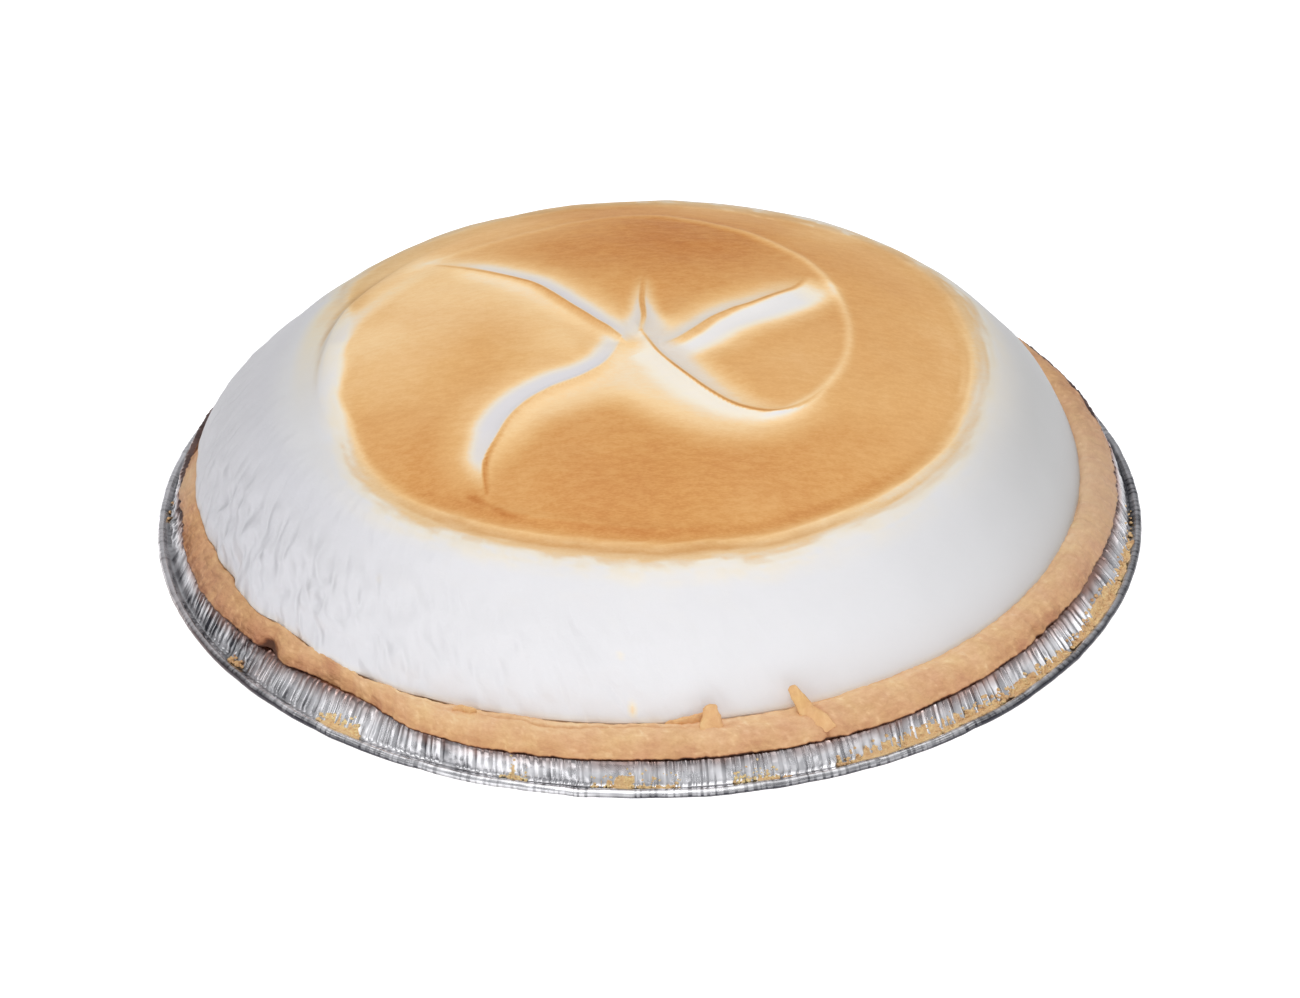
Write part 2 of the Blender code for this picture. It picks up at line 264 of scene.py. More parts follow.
def makeGrainGroup():
    # grain: coarse and fine noise where Vector says; Speckle is 0 to 1, Height is for bumps
    group, given, out = startGroup(
        "bakedGrain",
        [("Vector", "Vector", (0, 0, 0)), ("Grains per metre", "Float", 900), ("Fine share", "Float", 0.4)],
        [("Speckle", "Float"), ("Height", "Float")],
    )
    spot, grains, fineShare = (given.outputs[k] for k in range(3))
    coarse = add(group, "TexNoise", {"Vector": spot, "Scale": grains, "Detail": 2}).outputs[0]
    finer = maths(group, "MULTIPLY", grains, 3.7)
    fine = add(group, "TexNoise", {"Vector": spot, "Scale": finer, "Detail": 3}).outputs[0]
    both = add(group, "Mix", {0: fineShare, 2: coarse, 3: fine}, data_type="FLOAT").outputs[0]
    speckle = add(group, "MapRange", {0: both, 1: 0.3, 2: 0.7}, interpolation_type="SMOOTHSTEP").outputs[0]
    group.links.new(speckle, out.inputs[0])
    group.links.new(both, out.inputs[1])
    return group


def laidOut(tree, source, size, slant=0):
    # where a texture reads: the piece's own coordinates or its UV, turned by slant and then divided by size
    if source == "UV":
        spot = add(tree, "UVMap", uv_map="Along").outputs["UV"]
    else:
        spot = add(tree, "TexCoord").outputs["Object"]
    turned = {"Vector": spot, "Rotation": (0, 0, slant), "Scale": size}
    return add(tree, "Mapping", turned, vector_type="TEXTURE").outputs[0]


def makePatchGroup():
    # patches: broad soft noise that lightens or darkens a colour and turns its hue a little
    group, given, out = startGroup(
        "unevenTint",
        [("Color", "Color", (1, 1, 1, 1)), ("Patches per metre", "Float", 60), ("Amount", "Float", 0.1),
         ("Hue shift", "Float", 0.01)],
        [("Color", "Color")],
    )
    spot = add(group, "TexCoord").outputs["Object"]
    broad = add(group, "TexNoise", {"Vector": spot, "Scale": given.outputs[1], "Detail": 4}).outputs[0]
    centred = maths(group, "SUBTRACT", broad, 0.5)
    value = maths(group, "MULTIPLY_ADD", centred, given.outputs[2], 1)
    hue = maths(group, "MULTIPLY_ADD", centred, given.outputs[3], 0.5)
    changed = add(group, "HueSaturation", {"Hue": hue, "Value": value, "Color": given.outputs[0]})
    group.links.new(changed.outputs[0], out.inputs[0])
    return group


def useGroup(tree, group, feeds):    # a group placed in a material with its own values
    return add(tree, "Group", feeds, node_tree=group).outputs


def newMaterial(name):    # a material with its node tree and its shader
    made = bpy.data.materials.new(name)
    made.use_nodes = True
    return made, made.node_tree, made.node_tree.nodes["Principled BSDF"]


def speckled(tree, spot, look):
    # the grain group laid out at spot: how far its speckle lightens or darkens a shade, and its height
    grain = useGroup(tree, bakedGrain, {"Vector": spot, "Grains per metre": look["grainsPerMetre"],
                                        "Fine share": look["fineShare"]})
    speck = maths(tree, "MULTIPLY", maths(tree, "SUBTRACT", grain["Speckle"], 0.5), look["speckle"])
    return speck, grain["Height"]


def finishColour(tree, shader, colour, look):    # the last step of a colour: uneven patches, then the shader
    perMetre, amount, hue = look["patches"]
    tinted = useGroup(tree, unevenTint, {"Color": colour, "Patches per metre": perMetre, "Amount": amount,
                                         "Hue shift": hue})
    tree.links.new(tinted["Color"], shader.inputs["Base Color"])


def bumps(tree, shader, height, strength, distance):    # distance in metres for a height of 1
    made = add(tree, "Bump", {"Height": height, "Strength": strength, "Distance": distance})
    tree.links.new(made.outputs[0], shader.inputs["Normal"])


def bakedMaterial(name, look):
    # baked crust: a ramp of shades read by how browned the mesh says it is, with painted shade in it on the lip,
    # and grain; where the mesh's golden is above 0 the colour is multiplied by one shade, and below 0 blended
    # towards another
    finish, tree, shader = newMaterial(name)
    speck, height = speckled(tree, laidOut(tree, look["laidBy"], look["grainStretch"]), look)
    shade = ramp(tree, maths(tree, "SUBTRACT", painted(tree, "bakeAndShade"), speck), look["shades"])
    if "golden" in look:
        golden = painted(tree, "golden")
        dusty = maths(tree, "MULTIPLY", golden, -1)
        shade = blendColour(tree, maths(tree, "MAXIMUM", golden, 0), shade, look["golden"], "MULTIPLY")
        shade = blendColour(tree, maths(tree, "MAXIMUM", dusty, 0), shade, look["dusty"])
    finishColour(tree, shader, shade, look)
    feed(tree, shader, {"Roughness": look["roughness"], "Specular IOR Level": look["specular"]})
    bumps(tree, shader, height, 0.8, look["grainDepth"])
    return finish


bakedGrain = makeGrainGroup()
unevenTint = makePatchGroup()
print("node groups made")


# meringue

meringue = {
    "around": 480,    # points round each ring
    # rings: the radii from and to with their count, and how many more down the skirt
    "rings": {"middle": (0.5, 62, 124), "shoulder": (63, 86, 24), "skirt": 42},
    "domeRadii": [0, 25, 43, 61, 72, 80, 87, 93, 99, 104, 108.8],
    "domeHeights": [75, 74.4, 72.6, 69.7, 66.8, 64.3, 62.4, 58.2, 52.2, 45.4, 34.2],
    "shift": -3,      # how far the edge sits to the left of the middle
    "lean": 0.019,    # how much it rises to the right, mm a mm
    "fullSide": (28, 32, 1.6),    # where the edge bulges: degrees, width, mm
    "reliefGrows": (34.7, 53.7),    # heights between which the relief of the side grows to its full size
    "underside": [(-0.1, 33.1), (-0.7, 31.6), (-48, 31.4)],    # how far in from the foot, and its height
    "unevenness": 0.28, "drag": 0.85,    # broad waves all over, and wrinkles down the left side, mm
    # where wrinkles lie: (degrees, width, how many); and their noise: (degrees wide, slant, mm long, layer, seed)
    "wrinkled": [(-148, 33, 1), (-95, 26, 0.25)],
    "wrinkles": {"broad": (2.8, 30, 12, 0, 5), "across": (5, -13, 2.6, 3, 7), "foot": (1.7, 14, 8, 0, 6)},
    # painted shade: how much darker the side is made at the left and the back: (degrees, width, change)
    "paintedSideShade": [(172, 50, 0.58), (90, 50, 0.3)],
    # how far the foot spreads over the lip, mm at each angle
    "footSpread": {-180: 0.3, -176: -0.2, -170: -0.3, -166: -1.2, -161: -1.3, -155: -1.7, -150.5: -0.4,
                   -146: -0.2, -142: -1.1, -139: -1.2, -134: -0.3, -126: 0.3, -118: 0.5, -110: 0.1, -90: 0,
                   -10: 0, 0: 0.1, 8: 0.3, 15: 0.8, 25: 1.5, 32: 1.9, 45: 1.9, 60: 1.2, 90: 0.6, 120: 1,
                   140: 2.2, 152: 3, 160: 3, 168: 2.5, 173: 1.4, 177: 0.6},
    "raggedFoot": (0.45, -150, 38),    # mm, and where: degrees, width
    # the browned top's edge: its radius at each angle, and how far it fades out there
    "brownEdge": {0: 81, 10: 81.8, 22: 83, 36: 83, 50: 82, 60: 79.5, 70: 80, 90: 81.5, 110: 82, 130: 84.5,
                  141: 85, 146: 84.5, 152: 80.5, 158: 75.5, 164: 72.6, 169: 71.8, 175: 71.2, -178: 71,
                  -168: 71.8, -158: 73.2, -146: 76.2, -138: 77.2, -130: 78.2, -121: 78, -113: 77.6, -105: 77.6,
                  -97: 78.1, -90: 79, -83: 80, -75: 80.5, -68: 81.6, -57: 82, -48: 82.8, -40: 83, -30: 82.9,
                  -21: 82.2, -11: 81.3},
    "fringe": {0: 0.2, 20: 0.6, 45: 1, 90: 1, 130: 1, 155: 0.5, 172: 0, -165: 0, -150: 0.2, -135: 0.7, -110: 1,
               -75: 1, -60: 0.5, -40: 0.15, -15: 0.1},
    # what is left of the browning so many mm outside that edge: crisp, with a wide fringe, or sharp on the left
    "crispFade": {-3: 1, -0.6: 0.95, 0.6: 0.5, 2: 0.34, 4.5: 0.22, 6: 0.07, 7.5: 0},
    "fringedFade": {-2: 1, -0.2: 0.96, 0.7: 0.84, 3.8: 0.62, 5.7: 0.45, 7.5: 0.31, 10: 0.15, 12.5: 0.02},
    "sharpFade": {-2.5: 1, -0.6: 0.9, 0.6: 0.5, 1.6: 0.2, 3: 0.08, 6: 0.02},
    # how far outside the edge the whiter patches begin, mm
    "patchStart": {-140: 4.5, 10: 5, 30: 1, 45: -1.5, 70: -1.5, 85: 2, 130: 4.5},
    # the crease on the left: its radius at each angle, and where it shows: degrees, width
    "crease": {-170: 78.3, 178: 77.8, 165: 78.8, 155: 79.8, 148: 79.2, 90: 79},
    "creaseShows": (163, 20),
    # low rings round the browned top: (mm outside its edge, width, mm high, where it rises and falls in degrees),
    # and beside the crease: (mm outside it, width, mm high)
    "edgeRings": [(1.3, 1, 0.45, (-138, -122), (-42, -26)), (-3.4, 1, 0.4, (-126, -112), (-86, -72)),
                  (3.1, 0.9, -0.35, (-138, -122), (-42, -26))],
    "creaseRings": [(-3.2, 2.2, 0.5), (0, 1.1, -0.8)],
    "toastAndShading": 0.62,    # how browned the top is, from 0 white to 1 dark
    # pale spots where the arms meet: (x, y, reach, toast), and broad shades on the whole top: (x, y, reach, change)
    "hub": [(3, 1, 4.5, 0.16), (-4, -7, 3.5, 0.36)],
    "shades": [(0, -66, 34, 0.09), (-45, -50, 16, 0.09), (42, -58, 16, 0.03), (66, -14, 25, -0.06),
               (10, 50, 24, 0.2), (0, 70, 15, 0.07), (-30, 62, 14, -0.05), (-58, 5, 26, -0.21),
               (-45, 32, 18, -0.14), (-22, 47, 12, 0.1), (-27, -11, 10, -0.06), (-55, 66, 14, -0.15),
               (-40, 76, 14, -0.15), (-42, -4, 12, 0.07), (-22, 0, 9, -0.07), (-66, 8, 10, -0.08),
               (34, -14, 14, -0.06), (17, 78, 12, -0.14), (52, 64, 12, -0.16), (70, 45, 12, -0.1),
               (78, 26, 10, -0.06), (-62, 44, 16, -0.12), (-66, 50, 14, -0.12), (-53, 50, 6, -0.14),
               (74, 10, 9, -0.06), (-19, -4, 7, -0.14), (-2, -27, 9, -0.06)],
    # tiny spots on the front: (degrees, radius, reach, toast)
    "specks": [(-92.5, 102.1, 0.45, 0.3), (-90.6, 107.6, 0.6, 0.32), (-128, 97, 0.4, 0.2)],
    # the ridges: height of the crest, depth and width of the valley beside it, how round the crest is, and how
    # much further back a raised spot looks from the front, for each mm of its height
    "ridges": {"crest": 2.3, "valley": 1.6, "valleyWidth": 7.5, "roundness": 0.3, "seenHigher": 1.57},
    # the thin raised line that runs on round the top: its radius and how plain it is, at each angle
    "coil": {
        "radius": {-56: 47, -46: 48.6, -34: 49.6, -24: 49.8, -12: 50, 0: 50, 11: 50.5, 25: 52.3, 34: 54.1,
                   43: 55.9, 51: 57.6, 60: 60, 70: 63, 77: 65.7, 84: 68, 93: 68.6, 102: 67.5, 112: 66.4,
                   122: 66, 131: 69, 142: 74, 150: 77, 170: 78, -170: 78, -90: 47},
        "plainness": {-56: 0, -46: 1, -12: 0.75, 20: 0.9, 60: 1, 84: 0.7, 96: 0.4, 130: 0.35, 148: 0, -170: 0,
                      -90: 0},
        "rise": 0.5, "width": 1.4, "paler": 0.24,
    },
    # arms of the pinwheel: each a route in plan from the middle outwards, mm, the height of its ridge along it,
    # how far the ridge falls off to its left and right, and its bands of browning. A band lies on one side of the
    # route, 1 left and -1 right, between a near and a far line that have their own soft widths. It is
    # (side, near, far, soft widths, shade, force along the route, tint), with tint below 0 a painted lavender shade
    # and above 0 amber
    "arms": {
        "backLeft": {
            "route": [(-6.5, -3.5), (-10, 2), (-13.5, 6.5), (-21, 17), (-26.5, 25), (-33, 31.5), (-42, 39.5),
                      (-50, 46.5)],
            "height": [0.6, 1, 1, 0.9, 0.5, 0], "flanks": (1.5, 2.8),
            "bands": [
                (1, [0.5], [7, 12, 15, 15, 12, 8], (1.5, 8), 0.33, [0.4, 0.85, 0.9, 0.85, 0.7, 0.1], 0),
                (1, [0.6], [4, 5, 7, 7, 6, 4], (1.2, 3), 0.23, [0.3, 0.5, 0.7, 0.9, 0.8, 0.1], 0),
                (-1, [0.3], [6, 9, 9, 8, 8, 8], (0.4, 4.5), 0.34, [0.7, 0.7, 0.65, 0.6, 0.6, 0.1], 0),
                (-1, [0.2], [3.2, 4.2, 4.4, 4.2, 4.2, 4], (0.4, 2.8), 0.06, [0.9, 1, 1, 0.9, 0.8, 0.2], -0.6),
                (1, [-0.2], [2.2, 2.2, 2, 1.3, 0.6, 0.4], (0.5, 1.3), 0.51, [0.5, 1, 1, 0.9, 0.4, 0], 1),
                (1, [-0.3], [0.35], (0.35, 0.4), 0.8, [0.4, 0.55, 0.65, 0.75, 0.6, 0.2], -0.3),
            ],
        },
        "frontLeft": {
            "route": [(-6.5, -5.5), (-8.5, -11), (-11, -15.5), (-16, -20), (-23, -24), (-29, -29),
                      (-32.3, -34.5), (-34.2, -41), (-36, -48), (-36.2, -54), (-35.3, -60.5)],
            "height": [0.4, 0.9, 1, 1, 0.8, 0.2], "flanks": (1.8, 2.6),
            "bands": [
                (1, [0.4], [10, 13, 12, 11, 8, 5, 2], (0.6, 6), 0.26, [0.8, 0.95, 0.95, 0.9, 0.8, 0.6, 0.1], 0),
                (-1, [0.3], [9, 11, 11, 12, 12, 10, 6], (0.5, 5.5), 0.35, [0.6, 0.65, 0.65, 0.65, 0.65, 0.5, 0], 0),
                (-1, [0], [4.6, 5, 5.6, 6.4, 6.8, 4.6, 1], (0.6, 2.8), 0.04, [0.8, 1, 1, 1, 1, 0.9, 0.1], -0.5),
                (1, [-0.2], [2.6, 3, 2.6, 1.8, 1.2, 0.8], (0.7, 1.8), 0.38, [0.3, 0.75, 0.8, 0.7, 0.6, 0.4], 0.7),
                (1, [-0.3], [0.8], (0.3, 0.5), 0.88, [0, 0, 0, 0.15, 0.3, 0.8, 0.7], 0),
            ],
        },
        "smear": {    # the pale end of the back left arm, which runs on to the pale strip at the left edge
            "route": [(-50, 45.5), (-54, 41.5), (-58, 37.5), (-62.5, 32.5), (-66.5, 27), (-70, 21),
                      (-72.5, 14)],
            "bands": [
                (1, [-2.6], [2.6], (2, 2.2), 0.22, [0.2, 0.5, 0.55, 0.7, 0.9, 1, 1], -0.3),
            ],
        },
        "ticks": {    # short dark scratches where the front left arm runs out
            "route": [(-40, -61), (-37, -62.6), (-34, -65.5), (-30, -68.6), (-25, -71)],
            "bands": [
                (1, [-0.8], [0.8], (0.6, 0.6), 0.92, [0, 0.9, 0.8, 0.1, 0.5, 0.7, 0.6, 0.3, 0], 0),
            ],
        },
        "back": {
            "route": [(-1.5, -1), (-0.8, 6), (-1.2, 14), (-1, 20), (-0.5, 28)],
            "height": [0.7, 0.9, 0.9, 0.7, 0.4, 0], "flanks": (1.6, 1.6),
            "bands": [
                (1, [0.5], [5, 4.2, 3.2, 2.4, 1.7, 1], (0.4, 2.2), 0.12, [0.9, 1, 0.95, 0.8, 0.5, 0], -0.6),
                (-1, [0.5], [5, 4.2, 3.2, 2.4, 1.7, 1], (0.4, 2.2), 0.12, [0.9, 1, 0.95, 0.8, 0.5, 0], -0.6),
                (1, [-0.6], [0.6], (0.4, 0.4), 0.56, [0.2, 0.5, 0.8, 0.95, 0.9, 0], 0),
                (1, [-0.15], [0.55], (0.25, 0.35), 0.7, [0.1, 0.3, 0.5, 0.6, 0.6, 0], 0),
            ],
        },
        "backRight": {
            "route": [(3, -8), (6, -6), (8, -4.5), (12, 0), (16, 5), (21, 9.5), (26, 13), (32, 18), (37, 22.3),
                      (39.3, 26), (40.3, 29)],
            "height": [0.3, 0.9, 1, 1, 0.9, 0.6, 0.25, 0], "flanks": (2.8, 1.8),
            "bands": [
                (1, [0.5], [7, 8, 9, 9, 8, 6], (0.4, 4), 0.38, [0.6, 0.7, 0.7, 0.6, 0.5, 0.3, 0], 0),
                (-1, [1], [9, 12.5, 13.5, 13.5, 12.5, 10], (0.7, 4.5), 0.31,
                 [0.6, 0.85, 0.85, 0.85, 0.85, 0.85, 0.8, 0], 0),
                (1, [0.4], [3.6, 4, 4.4, 4.4, 4, 3], (0.5, 2.8), 0.12, [0.9, 0.95, 0.9, 0.8, 0.7, 0.5, 0], -0.7),
                (-1, [2.4, 2.8, 2.2, 1, 0.6, 0.6], [7.6, 8.6, 9.4, 9.8, 9.8, 9], (1.3, 3.2), 0.03,
                 [0.8, 1, 1, 1, 1, 1, 1, 1, 0.6, 0], 0),
                (-1, [-0.2], [2.3, 2.5, 2, 1.2, 0.5, 0.4], (0.5, 1.3), 0.46, [0.4, 1, 1, 0.7, 0.2, 0], 1),
                (1, [-0.3], [0.3], (0.35, 0.35), 0.7, [0, 0.15, 0.4, 0.7, 0.8, 0.5, 0], -0.4),
            ],
        },
        "frontRight": {
            "route": [(-1.5, -1), (0, -5), (2.5, -10.5), (6, -16), (10, -22), (15, -28), (20, -32.5),
                      (25, -34.8), (31, -35.2), (36, -33.5), (40, -30), (44, -24)],
            "height": [0.3, 0.9, 1, 1, 0.9, 0.6, 0.1], "flanks": (2.2, 2),
            "bands": [
                (-1, [0], [8, 14, 18, 17, 14, 10, 7, 3], (0.6, 6), 0.24, [0.7, 0.95, 0.95, 0.9, 0.85, 0.7, 0.4, 0],
                 0),
                (1, [0.3], [8, 9, 9, 8, 7, 5, 3, 0], (0.5, 4), 0.36, [0.7, 0.8, 0.8, 0.7, 0.6, 0.4, 0, 0], 0),
                (1, [0.3], [5, 5.6, 5.4, 4.8, 4, 3, 1.6, 0], (0.4, 3), 0.15,
                 [0.9, 1, 0.95, 0.85, 0.65, 0.35, 0.1, 0], -0.7),
                (-1, [0.4], [2, 5.4, 7.6, 8, 6.2, 4, 2.2, 0.5], (0.4, 3.6), 0.12, [0.6, 1, 1, 1, 1, 0.9, 0.5, 0],
                 0),
                (1, [-0.25], [0.3], (0.35, 0.35), 0.84, [0.4, 0.75, 0.9, 0.9, 0.9, 0.8, 0.5, 0], 0),
            ],
        },
    },
}


def footLine(angle):    # how far the foot spreads at each angle, ragged on the left
    size, middle, width = meringue["raggedFoot"]
    ragged = size * patchNoise(fromBack(angle) / 1.7, 0, 0, 1, 8) * angleBell(angle, middle, width)
    return roundTable(angle, meringue["footSpread"], 3) + ragged


def domeHeight(radius):
    # Hermite curve through the dome's points; each slope is the geometric mean of those before and after it
    places, heights = np.array(meringue["domeRadii"], float), np.array(meringue["domeHeights"], float)
    legs = np.diff(heights) / np.diff(places)
    slopes = np.concatenate([[0], -np.sqrt(legs[:-1] * legs[1:]), legs[-1:]])
    part = np.clip(np.searchsorted(places, radius, side="right") - 1, 0, len(legs) - 1)
    span = np.diff(places)[part]
    t = (radius - places[part]) / span
    level = (1 + 2 * t) * (1 - t) ** 2 * heights[part] + t * t * (3 - 2 * t) * heights[part + 1]
    return level + t * (1 - t) ** 2 * span * slopes[part] - t * t * (1 - t) * span * slopes[part + 1]


def alongTable(along, values):    # values at even stations of a route, read anywhere along it
    return np.interp(along, np.linspace(0, 1, len(values)), values)


def skirtRadii(first, last, count):
    # radii whose dome points are evenly spaced along the slope
    fine = np.linspace(first, last, 2000)
    way = np.concatenate([[0], np.cumsum(np.hypot(np.diff(fine), np.diff(domeHeight(fine))))])
    return np.interp(np.linspace(0, way[-1], count + 1)[1:], way, fine)


def pinwheelRelief(x, y):
    # ridges fall off each side as exp(-distance / flank), in valleys shaped as a bell; arms join by the larger
    ridges = meringue["ridges"]
    seen = y + ridges["seenHigher"] * (ridges["crest"] - ridges["valley"])
    crest, valley = 0, 0
    for arm in meringue["arms"].values():
        if "height" in arm:
            away, along = besideRoute(x, seen, smoothRoute(arm["route"]))
            force = alongTable(along, arm["height"])
            left, right = arm["flanks"]
            soft = np.sqrt(away ** 2 + ridges["roundness"] ** 2) - ridges["roundness"]
            wide = ridges["valleyWidth"] * mix(1, 0.6, along)    # valleys narrow outwards
            crest = np.maximum(crest, force * ridges["crest"] * np.exp(-soft / np.where(away > 0, left, right)))
            valley = np.maximum(valley, force * ridges["valley"] * bell(away, 0, wide))
    return crest - valley


def coilLine(radius, angle):    # 1 on the coiled line, falling off as a bell, times how plain it is there
    coil = meringue["coil"]
    return bell(radius, roundTable(angle, coil["radius"]), coil["width"]) * roundTable(angle, coil["plainness"])


def edgeRelief(radius, angle):
    # rings along the edge of the browned top and beside the crease: a sum of height x bell x where they show
    out = radius - roundTable(angle, meringue["brownEdge"])
    apart = radius - roundTable(angle, meringue["crease"])
    shows = angleBell(angle, *meringue["creaseShows"])
    edge = sum(size * bell(out, middle, width) * stretch(angle, rise, fall)
               for middle, width, size, rise, fall in meringue["edgeRings"])
    return edge + sum(size * bell(apart, middle, width) * shows for middle, width, size in meringue["creaseRings"])


def bandShare(place, along, near, far, soft):    # 1 between a band's near and far lines, with S-curves over both
    near, far = alongTable(along, near), alongTable(along, far)
    softNear, softFar = soft
    return ease(place, near - softNear, near + softNear) * (1 - ease(place, far - softFar, far + softFar))


def toastOf(x, y):
    # how browned each spot is, 0 white to 1 dark: broad shades, then the arms' bands, the edge and fine lines
    radius, angle = np.hypot(x, y), np.arctan2(y, x)
    toastAndShading, tintAndShade = np.full(x.shape, meringue["toastAndShading"]), np.zeros(x.shape)
    for *spot, change in meringue["shades"]:
        toastAndShading = toastAndShading + change * planBell(x, y, *spot)
    flow = roughNoise(x, y, 0, 14, 3)
    toastAndShading = toastAndShading + 0.03 * flow
    measured = [(arm["bands"], besideRoute(x, y, smoothRoute(arm["route"]))) for arm in meringue["arms"].values()]
    for low, high in ((0.2, 0.5), (0, 0.2), (0.5, 1)):    # creams first, then whites, then browned crests
        for bands, (away, along) in measured:
            for side, near, far, soft, shade, force, bandTintAndShade in bands:
                if low < shade <= high:
                    here = bandShare(away * side, along, near, far, soft) * alongTable(along, force)
                    toastAndShading, tintAndShade = mix(toastAndShading, shade, here), mix(tintAndShade, bandTintAndShade, here)
    for *spot, shade in meringue["hub"]:
        toastAndShading = mix(toastAndShading, shade, 0.7 * planBell(x, y, *spot))
    toastAndShading = toastAndShading - meringue["coil"]["paler"] * coilLine(radius, angle)
    return edgeToast(toastAndShading, tintAndShade, radius, angle, flow)


def edgeToast(toastAndShading, tintAndShade, radius, angle, flow):
    # the browned top fades out over its edge; pale rings, painted highlights where they lie on raised rings, and
    # mottles lie in front of it, a crease on the left
    back = fromBack(angle)
    edge = roundTable(angle, meringue["brownEdge"], 9)
    front = stretch(angle, (-140, -124), (-40, -24))
    out = radius - edge + 0.6 * flow
    right = angleBell(angle, -6, 24)
    toastAndShading = toastAndShading + 0.08 * bell(out, -2.6, 1.6) * front - 0.05 * bell(radius - edge, -4, 4) * right
    crisp, fringed, sharp = (lookUp(out, meringue[fade]) for fade in ("crispFade", "fringedFade", "sharpFade"))
    outside = mix(crisp, fringed, roundTable(angle, meringue["fringe"]))
    left = np.minimum(1, 1.2 * angleBell(angle, 176, 20))
    toastAndShading = toastAndShading * mix(outside, sharp, left)
    # paler lines along the edge, the front ones painted highlights on its low raised rings, and a darker line of
    # painted shade in the groove outside them
    rings = bell(out, 1.1, 0.6) * front + bell(out, -3.6, 0.6) * angleBell(angle, -104, 16)
    rings = rings + bell(out, -0.9, 0.5) * angleBell(angle, -8, 30) - 1.1 * bell(out, 3.1, 0.5) * front
    toastAndShading = toastAndShading - 0.1 * rings
    # fine arcs along the fringe and whiter patches in its outer part
    arcs = patchNoise(back / 4.5, out / 0.7, 2, 1, 12)
    patches = ease(roughNoise(back / 2.6, out / 1.9, 5, 1, 11) + 0.10 * (out - 8), -0.6, 0.9)
    start = roundTable(angle, meringue["patchStart"])
    whiter = 1 - 0.6 * patches * ease(out, start, start + 2.5)
    toastAndShading = toastAndShading * whiter + 0.07 * arcs * bell(out, 5, 5) * np.minimum(1, 8 * toastAndShading)
    # a faint tan on the shoulder, at the right and behind it
    toastAndShading = toastAndShading + 0.07 * bell(radius, 87.5, 6) * angleBell(angle, 26, 24)
    toastAndShading = toastAndShading + 0.04 * bell(radius, 88, 6) * angleBell(angle, -10, 20)
    # a painted lavender shade over the fringe
    fringe = ease(out, 0.8, 2.5) * (1 - ease(out, 9, 13)) * (1 - left) * ease(toastAndShading, 0.06, 0.25)
    tintAndShade = mix(tintAndShade, -0.45, fringe)
    # the left: a pale strip, the crease with its thin brown line and a painted lavender shade, and a faint tan
    # outside it
    apart = radius - roundTable(angle, meringue["crease"])
    shows = angleBell(angle, *meringue["creaseShows"])
    crease = bell(apart, 0, 0.8) * shows
    outer = ease(apart, -0.8, 0.4) * (1 - ease(apart, 3.5, 8)) * shows
    tan = np.maximum(toastAndShading, (0.13 + 0.2 * angleBell(angle, 147, 13)) * outer)
    strip = shows * ease(radius, edge - 1, edge + 2) * (1 - ease(apart, -2, 0))
    toastAndShading = np.maximum(toastAndShading, strip * (0.12 + 0.24 * angleBell(angle, 150, 10) + 0.08 * flow))
    toastAndShading = np.where(outer > 0.01, tan, toastAndShading) + 0.17 * crease * (0.8 + 0.3 * flow)
    tintAndShade = np.minimum(tintAndShade, -crease)
    for place, distance, reach, shade in meringue["specks"]:
        speck = bell(radius, distance, reach) * angleBell(angle, place, np.degrees(reach / distance))
        toastAndShading = mix(toastAndShading, shade, speck)
    hem = ease(radius, 108.1, 108.8)    # the very foot takes a little colour from the crust
    return np.clip(np.maximum(toastAndShading, 0.06 * hem), 0, 1), tintAndShade


def dragForce(angle, radius):    # where the side is wrinkled: most on the left and low down, a little at the front
    around = sum(share * angleBell(angle, middle, width) for middle, width, share in meringue["wrinkled"])
    return np.clip(around, 0, 1) * (0.3 * ease(radius, 81, 90) + 0.7 * ease(radius, 93, 101))


def dragMarks(radius, angle, height):
    # wrinkles that run down the side: noise cells narrow round the pie and long down the slope, each leaned over
    degrees = fromBack(angle)
    down = meringue["domeHeights"][0] - height + 0.4 * radius
    broad, across, foot = (patchNoise(degrees / wide + down / slant, down / long, layer, 1, seed)
                           for wide, slant, long, layer, seed in meringue["wrinkles"].values())
    low = ease(radius, 98, 105) * angleBell(angle, -148, 38)
    size = meringue["drag"] * dragForce(angle, radius) + 0.04 * ease(radius, 82, 93)
    return (broad + 0.4 * across) * size + 1.3 * foot * low


def sideShade(radius, angle):    # painted shade: how much darker the side is made, soft bells at the left, the back and the right
    left, right = angleBell(angle, 178, 45), angleBell(angle, -4, 42)
    paintedShade = 0.08 + sum(change * angleBell(angle, middle, width) for middle, width, change in meringue["paintedSideShade"])
    paintedShade = paintedShade * ease(radius + 7 * left, 76, 88)
    return np.clip(paintedShade + 0.95 * right * ease(radius, 76, 100), 0, 1)


